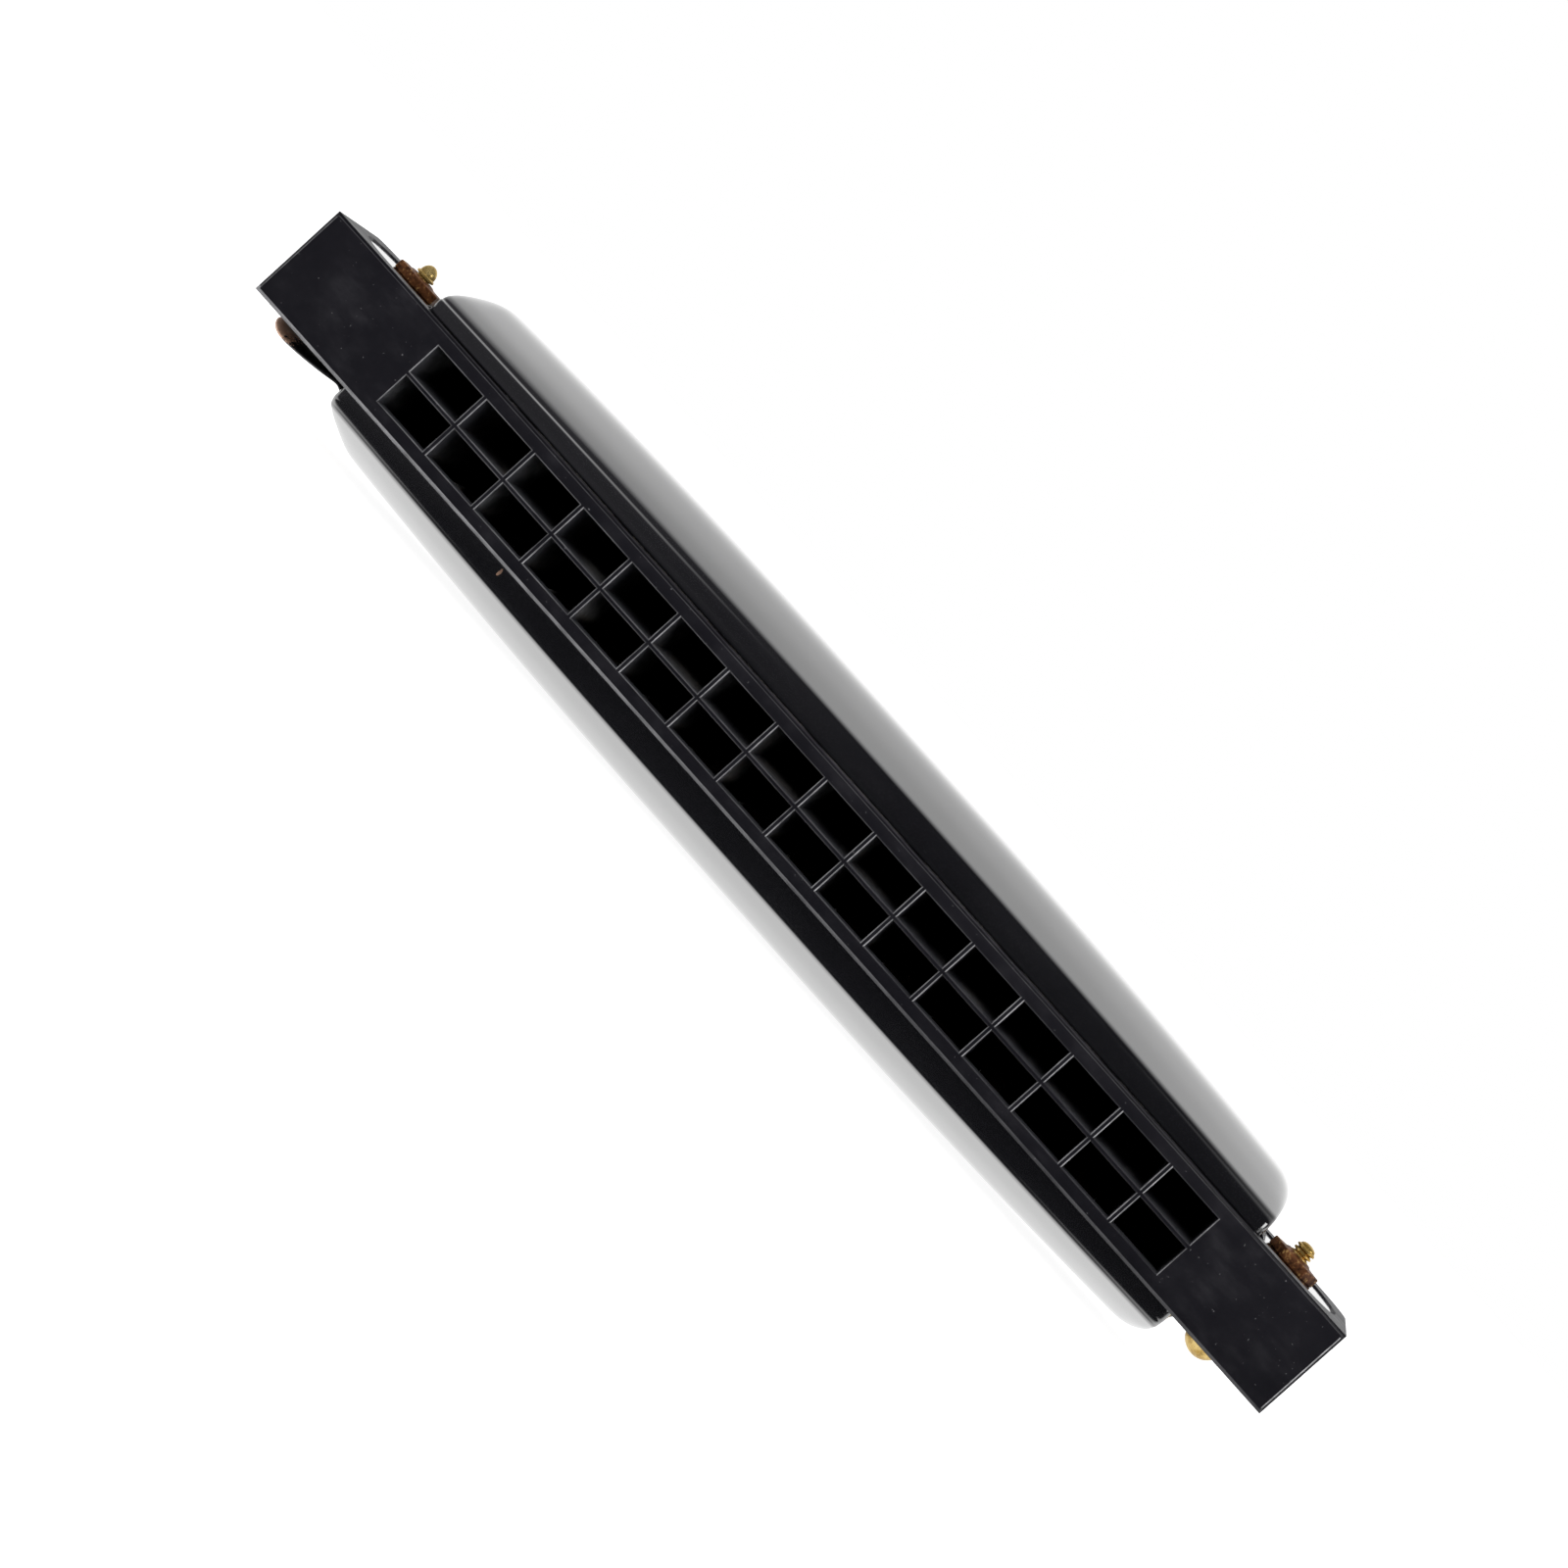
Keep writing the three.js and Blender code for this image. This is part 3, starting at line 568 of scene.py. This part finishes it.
def moulded_plastic():
    """Black moulded plastic with a fine grain, wiped dust and scratches. A lighter grey is painted inside the
    holes as painted light, and highlights are painted on the holes' rims and front edges.
    """
    material, nodes, shader = new_material("comb_black_plastic")
    place = nodes.place()
    clouds = nodes.noise(place, **COMB_CLOUDS)
    wipes = nodes.noise(place, **COMB_WIPES)
    specks = nodes.noise(place, **COMB_SPECKS)
    dust = nodes.product(nodes.spread(clouds, COMB_DUST_CLOUDS), nodes.spread(wipes, COMB_DUST_WIPES))
    base = nodes.mixed(nodes.spread(clouds, NOISE_MIDDLE), *COMB_BLACKS)
    dusty = nodes.mixed(dust, base, COMB_DUST_COLOUR)
    speckled = nodes.mixed(nodes.spread(specks, COMB_SPECK_PEAKS), dusty, COMB_SPECK_COLOUR)
    # Painted light: the walls of the holes and chambers are made lighter grey
    with_painted_hole_light = nodes.mixed(inside_holes(nodes, place), speckled, COMB_PAINTED_HOLE_LIGHT)
    # Painted highlights on the holes' rims and front edges, patchy with the wipes
    patchy = nodes.spread(wipes, COMB_RIM_HIGHLIGHT_WIPES, COMB_RIM_HIGHLIGHT_SHARES)
    rim_highlight = nodes.product(painted_rim_highlights(nodes, place), patchy)
    grain = nodes.noise(place, **COMB_GRAIN)
    scratches = nodes.noise(place, **COMB_SCRATCHES)
    rough = nodes.bump(grain, COMB_BUMP_DEPTH, COMB_GRAIN_STRENGTH)
    nodes.feed(shader, {
        "Base Color": nodes.mixed(rim_highlight, with_painted_hole_light, COMB_RIM_HIGHLIGHT_COLOUR),
        "Specular IOR Level": COMB_SPECULAR_LEVEL,
        "Roughness": nodes.spread(wipes, NOISE_RANGE, COMB_ROUGHNESSES),
        "Normal": nodes.bump(scratches, COMB_BUMP_DEPTH, COMB_SCRATCH_STRENGTH, rough),
    })
    return material


def worn_patch(nodes, place, centre, reach, ragged):
    """1 at a point of the lacquer that is worn through, and 0 past its ragged edge."""
    uneven = nodes.spread(ragged, NOISE_RANGE, BARE_EDGE_RAGGED_SHARES)
    distance = nodes.sum_up("ADD", nodes.scaled_distance(place, centre, reach), uneven)
    return nodes.spread(distance, BARE_EDGE_SHARES)


def cover_lacquer():
    """Glossy black lacquer, worn to the copper-coloured metal on the bent tab's tip and at one chip
    in the lower front wall."""
    material, nodes, shader = new_material("cover_black_lacquer")
    place = nodes.place()
    ragged = nodes.noise(place, **BARE_EDGE)
    tip = worn_patch(nodes, place, WORN_TIP, WORN_TIP_REACH, ragged)
    chip = worn_patch(nodes, place, WALL_CHIP, CHIP_REACH, ragged)
    bare = nodes.largest(tip, chip)
    coated = nodes.sum_up("SUBTRACT", 1, bare)
    patina = nodes.noise(place, **BARE_PATINA)
    copper = nodes.mixed(nodes.spread(patina, NOISE_MIDDLE), *BARE_COLOURS)
    haze = nodes.noise(place, **LACQUER_HAZE)
    black = nodes.mixed(nodes.spread(haze, LACQUER_HAZE_MIDDLE), *LACQUER_BLACKS)
    gloss = nodes.spread(haze, NOISE_RANGE, LACQUER_ROUGHNESSES)
    peel = nodes.noise(place, **LACQUER_PEEL)
    lifted = nodes.bump(peel, LACQUER_PEEL_DEPTH, LACQUER_PEEL_STRENGTH)
    nodes.feed(shader, {
        "Base Color": nodes.mixed(bare, black, copper),
        "Roughness": nodes.sum_up("ADD", gloss, nodes.product(bare, BARE_ROUGHER)),
        "Metallic": nodes.product(bare, BARE_METALNESS),
        "IOR": LACQUER_IOR,
        "Coat Weight": coated,
        "Coat Roughness": COAT_ROUGHNESS,
        "Coat IOR": COAT_IOR,
        "Normal": nodes.bump(coated, LACQUER_EDGE_DEPTH, LACQUER_EDGE_STRENGTH, lifted),
    })
    return material


def painted_inner_shade(nodes, place):
    """1 inside the comb and at the front edges of the plates and reeds, where their metal is painted near
    black as painted shade.
    """
    split = nodes.axes(place)
    from_middle = nodes.sum_up("ABSOLUTE", nodes.sum_up("SUBTRACT", split["Z"], COMB_MIDDLE))
    past_plate = (PLATE_INNER + SHADE_FULL_PAST_PLATE, PLATE_INNER + SHADE_GONE_PAST_PLATE)
    behind_cover = (COVER_FRONT_Y + SHADE_GONE_BEHIND_COVER, COVER_FRONT_Y + SHADE_FULL_BEHIND_COVER)
    inside = nodes.spread(from_middle, past_plate, (1, 0))
    return nodes.largest(inside, nodes.spread(split["Y"], behind_cover))


def metal(
    name, colours, stain, stain_share, roughnesses, metalness,
    wander_scale, stain_scale, line_scale, line_stretch, shaded_inside,
):
    """A metal with lines left by its making, a colour that wanders, and stains."""
    material, nodes, shader = new_material(name)
    place = nodes.place()
    wander = nodes.noise(place, wander_scale, **METAL_WANDER)
    stains = nodes.noise(place, stain_scale, **METAL_STAINS)
    lines = nodes.noise(place, line_scale, stretch=line_stretch, **METAL_LINES)
    body = nodes.mixed(nodes.spread(wander, NOISE_MIDDLE), *colours)
    colour = nodes.mixed(nodes.spread(stains, METAL_STAIN_PEAKS, (0, stain_share)), body, stain)
    # Painted shade on plates and reeds inside the comb and at their front edges
    if shaded_inside:
        colour = nodes.mixed(painted_inner_shade(nodes, place), colour, INNER_SHADE_COLOUR)
    patchy = nodes.spread(lines, NOISE_RANGE, roughnesses)
    duller = nodes.spread(stains, METAL_STAIN_PEAKS, (0, METAL_STAIN_ROUGHER))
    nodes.feed(shader, {
        "Base Color": colour,
        "Metallic": metalness,
        "Roughness": nodes.sum_up("ADD", patchy, duller),
        "Normal": nodes.bump(lines, METAL_LINE_DEPTH, METAL_LINE_STRENGTH),
    })
    return material


def old_bronze():
    """A brown, blotched skin on bronze, rubbed brighter in places."""
    material, nodes, shader = new_material("nut_old_bronze")
    place = nodes.place()
    blotches = nodes.noise(place, **BRONZE_BLOTCHES)
    rubs = nodes.noise(place, **BRONZE_RUBS)
    body = nodes.mixed(nodes.spread(blotches, BRONZE_BLOTCH_MIDDLE), *BRONZE_BROWNS)
    nodes.feed(shader, {
        "Base Color": nodes.mixed(nodes.spread(rubs, BRONZE_RUB_PEAKS), body, BRONZE_RUBBED_COLOUR),
        "Metallic": BRONZE_METALNESS,
        "Roughness": nodes.spread(blotches, NOISE_RANGE, BRONZE_ROUGHNESSES),
        "Normal": nodes.bump(blotches, BRONZE_BUMP_DEPTH, BRONZE_BUMP_STRENGTH),
    })
    return material


def make_materials():
    """One material for each of the part's slots."""
    made = {"comb_plastic": moulded_plastic(), "cover_black": cover_lacquer(), "nut_bronze": old_bronze()}
    for slot, finish in METALS.items():
        made[slot] = metal(**finish)
    return made


# Covers

def shoulder_share(from_end, end):
    """How much of its full height the cover has at a distance from its end wall."""
    power = SHOULDER_POWERS[end]
    left = 1 - min(1, from_end / SHOULDER_LENGTH)
    rise = (1 - left ** power) ** (1 / power)
    return SHOULDER_START_SHARE + (1 - SHOULDER_START_SHARE) * rise


def crown_at(x):
    """The cover is level along its middle and falls towards its ends."""
    past = max(0, abs(x) - CROWN_FLAT_HALF_LENGTH) / (COVER_HALF_LENGTH - CROWN_FLAT_HALF_LENGTH)
    return 1 - CROWN_DROP_SHARE * past ** 2


def section_share(row, x, ledged):
    """How far back and how high a row of the section is at x. A ledge fades out along the upper cover."""
    back, up = SECTION_SHARES[row]
    ledge_row = row - WALL_TOP_ROW
    if ledged and 0 <= ledge_row < len(LEDGE_HEIGHT_SHARES):
        along = min(1, max(0, (x - LEDGE_FULL_X) / (LEDGE_GONE_X - LEDGE_FULL_X)))
        ledge_up = LEDGE_HEIGHT_SHARES[ledge_row]
        up = ledge_up + (up - ledge_up) * along
    return back, up


def cover_point(x, back, up):
    """A place on the outside of a cover, with its height measured from the comb's face."""
    from_end = COVER_HALF_LENGTH - abs(x)
    share = shoulder_share(from_end, 1 if x > 0 else -1)
    limit = (1 + (up / share) ** SHOULDER_SHARPNESS - up ** SHOULDER_SHARPNESS) ** (-1 / SHOULDER_SHARPNESS)
    corner_left = max(0, CORNER_RADIUS - from_end)
    corner = CORNER_RADIUS - math.sqrt(CORNER_RADIUS ** 2 - corner_left ** 2)
    narrow = 1 - corner / (COVER_DEPTH / 2)
    y = COVER_FRONT_Y + back * COVER_DEPTH
    height = COVER_RISE * up * limit * crown_at(x)
    return Vector((x, COVER_MIDDLE_Y + (y - COVER_MIDDLE_Y) * narrow, height))


def cover_stations():
    """Places along the cover, close together at its shoulders, and one at each end of the rear opening."""
    half = [COVER_HALF_LENGTH - share * SHOULDER_LENGTH for share in SHOULDER_STATION_SHARES]
    steps = range(LENGTH_STATION_COUNT)
    half += [REAR_OPENING_HALF_LENGTH * (1 - step / LENGTH_STATION_COUNT) for step in steps]
    return [-x for x in half] + [0] + half[::-1]


def lay_grid(shape, stations, ledged):
    """Lays a grid of corners over the outside of a cover, and gives them by column and row."""
    columns, rows = len(stations) - 1, len(SECTION_SHARES) - 1
    bmesh.ops.create_grid(shape, x_segments=columns, y_segments=rows, size=1)
    grid = {}
    for corner in shape.verts:
        column = round((corner.co.x + 1) / 2 * columns)
        row = round((corner.co.y + 1) / 2 * rows)
        grid[column, row] = corner
    for (column, row), corner in grid.items():
        x = stations[column]
        corner.co = cover_point(x, *section_share(row, x, ledged))
    return grid


def extrude_line(shape, line, places):
    """Pulls a new line of corners out of an open line, and puts each in its place."""
    edges = [shape.edges.get(pair) for pair in zip(line, line[1:])]
    made = bmesh.ops.extrude_edge_only(shape, edges=edges)["geom"]
    fresh = [part for part in made if isinstance(part, bmesh.types.BMVert)]
    ordered = [min(fresh, key=lambda corner: (corner.co - old.co).length_squared) for old in line]
    for corner, place in zip(ordered, places):
        corner.co = place
    return ordered


def tab_half_width_at(x, power):
    """Half a tab's width at a distance from the cover's middle. Its tip is rounded."""
    past = max(0, x - TAB_TIP_START) / TAB_TIP_LENGTH
    return TAB_HALF_WIDTH * math.sqrt(max(0, 1 - past ** power))


def tab_curl_at(x):
    """How far the bent tab's front edge curls down at a distance from the cover's middle."""
    grown = ((x - COVER_HALF_LENGTH) / TAB_LENGTH) ** TAB_CURL_START_POWER
    past = max(0, x - TAB_TIP_START) / TAB_TIP_LENGTH
    return TAB_CURL_DROP * grown * (1 - past ** TAB_CURL_TIP_POWER)


def add_tab(shape, line, end, drop):
    """Runs the sheet from the foot of an end wall out into its tab."""
    first_y, last_y = line[0].co.y, line[-1].co.y
    across = [2 * (corner.co.y - first_y) / (last_y - first_y) - 1 for corner in line]
    fillet_end = COVER_HALF_LENGTH + TAB_FILLET
    stations = [(COVER_HALF_LENGTH + TAB_FILLET * share, share) for share in FILLET_STATION_SHARES]
    stations += [(fillet_end + (TAB_TIP_START - fillet_end) * share, 1) for share in TAB_STRAIGHT_SHARES]
    stations += [(TAB_TIP_START + TAB_TIP_LENGTH * share, 1) for share in TAB_TIP_SHARES]
    for x, share in stations:
        fall = drop * math.sin(math.pi / 2 * (x - COVER_HALF_LENGTH) / TAB_LENGTH)
        height = TAB_TOP + fall + TAB_FILLET * (1 - math.sqrt(1 - (1 - share) ** 2))
        half = tab_half_width_at(x, PULLED_TAB_TIP_POWER if drop else TAB_TIP_POWER)
        curl = tab_curl_at(x) if drop else 0
        curls = [curl * max(0, -place) ** TAB_CURL_POWER for place in across]
        places = [Vector((end * x, half * place, height + down)) for place, down in zip(across, curls)]
        line = extrude_line(shape, line, places)


def add_end_wall(shape, grid, column, end, drop):
    """Closes one end of a cover with a wall, whose middle runs on into the tab."""
    rows = range(WALL_TOP_ROW, REAR_TOP_ROW + 1)
    ring = [grid[column, row] for row in rows]
    foot_height = grid[column, 1].co.z
    tab_height = TAB_TOP + TAB_FILLET
    heights = [tab_height if TAB_FIRST_ROW <= row <= TAB_LAST_ROW else foot_height for row in rows]
    places = [Vector((corner.co.x, corner.co.y, height)) for corner, height in zip(ring, heights)]
    above = extrude_line(shape, ring, places)
    first, last = TAB_FIRST_ROW - WALL_TOP_ROW, TAB_LAST_ROW - WALL_TOP_ROW
    add_tab(shape, above[first:last + 1], end, drop)
    for part in (above[:first + 1], above[last:]):
        extrude_line(shape, part, [Vector((corner.co.x, corner.co.y, 0)) for corner in part])


def open_rear(shape, grid, stations):
    """Cuts the long sound opening out of the rear wall. Its upper edge follows the crown."""
    reach = REAR_OPENING_HALF_LENGTH + MERGE_DISTANCE
    inside = [column for column, x in enumerate(stations) if abs(x) <= reach]
    pairs = [(grid[column, REAR_TOP_ROW], grid[column, REAR_TOP_ROW + 1]) for column in inside]
    walls = [shape.edges.get(pair) for pair in pairs]
    made = bmesh.ops.subdivide_edges(shape, edges=walls, cuts=1)["geom_inner"]
    edge_line = [part for part in made if isinstance(part, bmesh.types.BMVert)]
    for corner in edge_line:
        corner.co.z = REAR_OPENING_HEIGHT * crown_at(corner.co.x)
    gone = []
    for face in shape.faces:
        centre = face.calc_center_median()
        at_rear = min(corner.co.y for corner in face.verts) > COVER_REAR_Y - MERGE_DISTANCE
        below = all(corner in edge_line or corner.co.z < REAR_OPENING_HEIGHT / 2 for corner in face.verts)
        if at_rear and abs(centre.x) < REAR_OPENING_HALF_LENGTH and below:
            gone.append(face)
    bmesh.ops.delete(shape, geom=gone, context="FACES")


def face_outward(shape):
    """Turns all faces of a cover to its outside, which is up at its crest."""
    bmesh.ops.recalc_face_normals(shape, faces=shape.faces)
    crest = max(shape.faces, key=lambda face: face.calc_center_median().z)
    if crest.normal.z < 0:
        bmesh.ops.reverse_faces(shape, faces=shape.faces)


def round_sheet(cover):
    """Gives the sheet its thickness, inwards, and rounds its bends."""
    sheet = cover.modifiers.new("sheet", "SOLIDIFY")
    sheet.thickness = SHEET_THICKNESS
    sheet.offset = -1
    sheet.use_even_offset = True
    rounded = cover.modifiers.new("rounded", "SUBSURF")
    rounded.levels = SUBDIVISION_LEVEL
    rounded.render_levels = SUBDIVISION_LEVEL
    settle(cover)


def make_cover(layer, material):
    """One cover: a front wall and ledge, a dome, end walls with tabs, and a rear wall with its opening."""
    side = LAYER_SIDES[layer]
    stations = cover_stations()
    shape = bmesh.new()
    grid = lay_grid(shape, stations, side > 0)
    for column, end in ((0, -1), (len(stations) - 1, 1)):
        pulled = side < 0 and end < 0
        add_end_wall(shape, grid, column, end, TAB_BEND_DROP if pulled else 0)
    open_rear(shape, grid, stations)
    bmesh.ops.remove_doubles(shape, verts=shape.verts, dist=MERGE_DISTANCE)
    face_outward(shape)
    face_height = COMB_MIDDLE + side * HALF_HEIGHT
    for corner in shape.verts:
        corner.co.z = COMB_MIDDLE + side * (HALF_HEIGHT + corner.co.z)
    if side < 0:
        bmesh.ops.reverse_faces(shape, faces=shape.faces)
    cover = new_object(f"cover_{layer}_pressed", shape)
    round_sheet(cover)
    for end in END_SIDES.values():
        pulled = side < 0 and end < 0
        radius = PULLED_TAB_HOLE_RADIUS if pulled else TAB_HOLE_RADIUS
        bar = round_bar(radius, face_height - OVERSHOOT, face_height + OVERSHOOT, end * SCREW_X)
        combine(cover, bar, "DIFFERENCE")
    smooth_by_angle(cover, SMOOTH_ANGLE)
    finish_piece(cover, material, "cover_black", f"cover_{layer}")


# Screws and nuts

def dome(radius, foot, height):
    """A quarter round from its foot to the axis, as pairs of a radius and a height."""
    angles = [math.pi / 2 * step / DOME_STEPS for step in range(DOME_STEPS + 1)]
    return [(radius * math.cos(angle), foot + height * math.sin(angle)) for angle in angles]


def make_screw(name, material):
    """A domed, slotted head below, and above the nut a turned thread with a rounded tip."""
    end = END_SIDES[name]
    x = end * SCREW_X
    seat = COMB_MIDDLE - (NUT_SEAT if end > 0 else TAB_FLOOR)
    nut_top = COMB_MIDDLE + NUT_TOP
    head_height, head_radius = HEAD_HEIGHTS[name], HEAD_RADII[name]
    profile = dome(head_radius, seat - HEAD_RIM, HEAD_RIM - head_height)[::-1]
    profile += [(head_radius, seat), (SCREW_RADIUS, seat), (SCREW_RADIUS, nut_top - THREAD_PITCH)]
    thread_start = nut_top + THREAD_STARTS[name]
    ridges = THREAD_RIDGES[name]
    for ridge in range(ridges):
        foot = thread_start + THREAD_PITCH * ridge
        profile.append((THREAD_ROOT_RADIUS, foot))
        profile += [(THREAD_CREST_RADIUS, foot + THREAD_PITCH * share) for share in THREAD_RIDGE_SHARES]
    tip_foot = thread_start + THREAD_PITCH * ridges
    profile += dome(TIP_RADII[name], tip_foot, nut_top + SCREW_PAST_NUT - tip_foot)
    screw = turned(f"screw_{name}_turned", profile, x)
    slot = bmesh.new()
    size = Matrix.Diagonal((2 * head_radius + OVERSHOOT, HEAD_SLOT_WIDTH, 2 * HEAD_SLOT_DEPTH, 1))
    bmesh.ops.create_cube(slot, size=1, matrix=Matrix.Translation((x, 0, seat - head_height)) @ size)
    combine(screw, new_object("slot", slot), "DIFFERENCE")
    smooth_by_angle(screw, SMOOTH_ANGLE)
    finish_piece(screw, material, "screw_brass", f"screw_{name}")


def make_nut(name, material):
    """A six-sided nut with rounded edges and a raised collar."""
    x = END_SIDES[name] * SCREW_X
    seat = COMB_MIDDLE + NUT_SEAT
    top = seat + NUT_THICKNESS
    middle = (seat + top) / 2
    shape = bmesh.new()
    place = Matrix.Translation((x, 0, middle)) @ Matrix.Rotation(NUT_TURN[name], 4, "Z")
    start = Matrix.Rotation(math.pi / 2, 4, "Z")
    bmesh.ops.create_cone(
        shape, cap_ends=True, segments=NUT_SIDES, radius1=NUT_CORNER_RADIUS, radius2=NUT_CORNER_RADIUS,
        depth=NUT_THICKNESS, matrix=place @ start,
    )
    bmesh.ops.bevel(
        shape, geom=list(shape.edges), offset=NUT_EDGE_BEVEL, affect="EDGES", segments=NUT_BEVEL_STEPS,
        profile=NUT_BEVEL_ROUNDNESS_SHARE, material=-1,
    )
    nut = new_object(f"nut_{name}_six_sided", shape)
    collar_top = top + NUT_COLLAR_HEIGHTS[name]
    collar = turned("collar", [
        (0, middle), (NUT_COLLAR_RADIUS, middle), (NUT_COLLAR_RADIUS, top),
        (NUT_COLLAR_TOP_RADIUS, collar_top), (0, collar_top),
    ], x)
    combine(nut, collar, "UNION")
    combine(nut, round_bar(NUT_BORE_RADIUS, seat - OVERSHOOT, top + OVERSHOOT, x), "DIFFERENCE")
    smooth_by_angle(nut, SMOOTH_ANGLE)
    finish_piece(nut, material, "nut_bronze", f"nut_{name}")


# Comb

def make_comb(material):
    """The comb's own shape, its corners joined, so that the holes' chamfered rims shade as rounded edges."""
    shape = bmesh.new()
    shape.from_mesh(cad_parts["comb"].data)
    bmesh.ops.remove_doubles(shape, verts=shape.verts, dist=MERGE_DISTANCE)
    bmesh.ops.dissolve_limit(shape, angle_limit=FLAT_ANGLE, verts=shape.verts, edges=shape.edges)
    comb = new_object("comb_moulded", shape)
    smooth_by_angle(comb, COMB_SMOOTH_ANGLE)
    weighted = comb.modifiers.new("weighted", "WEIGHTED_NORMAL")
    weighted.keep_sharp = True
    settle(comb)
    finish_piece(comb, material, "comb_plastic", "comb")


# Studio

def dark_surroundings(nodes, across, dark_to_grey):
    """What the object mirrors on the camera's side: dark, and grey towards the left."""
    return nodes.mixed(nodes.spread(across, dark_to_grey), MIRRORED_DARK, MIRRORED_GREY)


def mirrored_floor(nodes):
    """The floor in reflections: white from behind the mouth face and beside its ends, and dark in front."""
    split = nodes.axes(nodes.place())
    behind = nodes.spread(split["Y"], FLOOR_DARK_TO_WHITE)
    past_ends = nodes.spread(nodes.sum_up("ABSOLUTE", split["X"]), FLOOR_ENDS_TO_WHITE)
    close = nodes.spread(split["Y"], FLOOR_ENDS_FRONT)
    white = nodes.largest(behind, nodes.product(past_ends, close))
    near = dark_surroundings(nodes, split["X"], FLOOR_DARK_TO_GREY)
    return nodes.add("ShaderNodeEmission", Color=nodes.mixed(white, near, WHITE)).outputs["Emission"]


def make_floor():
    """A plain floor. The camera sees it lifted towards white, with a soft shadow on it."""
    shape = bmesh.new()
    bmesh.ops.create_grid(shape, x_segments=1, y_segments=1, size=FLOOR_HALF_SIZE)
    floor = new_object("studio_floor", shape)
    material, nodes, shader = new_material("floor_white")
    nodes.feed(shader, {"Base Color": opaque(FLOOR_COLOUR), "Roughness": FLOOR_ROUGHNESS})
    plain = shader.outputs["BSDF"]
    lift = nodes.add("ShaderNodeEmission", Strength=FLOOR_LIFT)
    lifted = nodes.add("ShaderNodeAddShader")
    nodes.feed(lifted, {0: plain, 1: lift.outputs["Emission"]})
    rays = nodes.add("ShaderNodeLightPath").outputs
    seen = nodes.mixed_shaders(rays["Is Camera Ray"], plain, lifted.outputs["Shader"])
    in_mirror = nodes.largest(rays["Is Glossy Ray"], rays["Is Transmission Ray"])
    surface = nodes.mixed_shaders(in_mirror, seen, mirrored_floor(nodes))
    nodes.feed(material.node_tree.nodes["Material Output"], {"Surface": surface})
    material.cycles.emission_sampling = "NONE"
    floor.data.materials.append(material)


def make_world():
    """A room that is white beyond the object and dark on the camera's side. The camera sees it white."""
    world = bpy.data.worlds.new("studio")
    bpy.context.scene.world = world
    world.use_nodes = True
    nodes = Nodes(world.node_tree)
    split = nodes.axes(nodes.add("ShaderNodeTexCoord").outputs["Generated"])
    near = dark_surroundings(nodes, split["X"], ROOM_DARK_TO_GREY)
    room = world.node_tree.nodes["Background"]
    nodes.feed(room, {"Color": nodes.mixed(nodes.spread(split["Y"], ROOM_DARK_TO_WHITE), near, WHITE)})
    plain = nodes.add("ShaderNodeBackground", Color=opaque(WHITE))
    camera_ray = nodes.add("ShaderNodeLightPath").outputs["Is Camera Ray"]
    surface = nodes.mixed_shaders(camera_ray, room.outputs["Background"], plain.outputs["Background"])
    nodes.feed(world.node_tree.nodes["World Output"], {"Surface": surface})


def make_lamps():
    """Square softboxes that face the object. Only one of them shows in reflections."""
    for lamp in LAMPS:
        light = bpy.data.lights.new(lamp["name"], "AREA")
        light.shape = "SQUARE"
        light.size = lamp["size"]
        light.energy = lamp["power"]
        holder = bpy.data.objects.new(lamp["name"], light)
        bpy.context.scene.collection.objects.link(holder)
        place = Vector(lamp["place"])
        aim = Vector((0, 0, COMB_MIDDLE)) - place
        holder.matrix_world = Matrix.Translation(place) @ aim.to_track_quat("-Z", "Y").to_matrix().to_4x4()
        holder.visible_glossy = lamp["mirrored"]


def make_camera():
    """The photograph's view: nearly square on to the mouth face, with the picture turned."""
    sine, cosine = math.sin(CAMERA_AZIMUTH), math.cos(CAMERA_AZIMUTH)
    level = math.cos(CAMERA_ELEVATION)
    back = Vector((sine * level, -cosine * level, math.sin(CAMERA_ELEVATION)))
    right = Vector((cosine, sine, 0))
    up = back.cross(right)
    turn = CAMERA_ROLL + PHOTO_TURN
    right, up = right * math.cos(turn) + up * math.sin(turn), up * math.cos(turn) - right * math.sin(turn)
    look_at = Vector((LOOK_AT_X, comb_low.y, COMB_MIDDLE + LOOK_AT_ABOVE_MIDDLE))
    place = look_at + back * CAMERA_DISTANCE
    lens = bpy.data.cameras.new("photo_camera")
    lens.lens = CAMERA_LENS
    lens.clip_start = CAMERA_CLIP_START
    camera = bpy.data.objects.new("photo_camera", lens)
    bpy.context.scene.collection.objects.link(camera)
    camera.matrix_world = Matrix((
        (right.x, up.x, back.x, place.x),
        (right.y, up.y, back.y, place.y),
        (right.z, up.z, back.z, place.z),
        (0, 0, 0, 1),
    ))
    bpy.context.scene.camera = camera


bpy.context.scene.view_settings.view_transform = "Standard"
materials = make_materials()
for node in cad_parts.values():
    for material_slot in node.material_slots:
        slot_name = material_slot.material.name.split(".")[0]
        material_slot.material = materials[slot_name]
make_comb(materials["comb_plastic"])
for layer in LAYER_SIDES:
    make_cover(layer, materials["cover_black"])
for end_name in END_SIDES:
    make_screw(end_name, materials["screw_brass"])
    make_nut(end_name, materials["nut_bronze"])
make_floor()
make_world()
make_lamps()
make_camera()
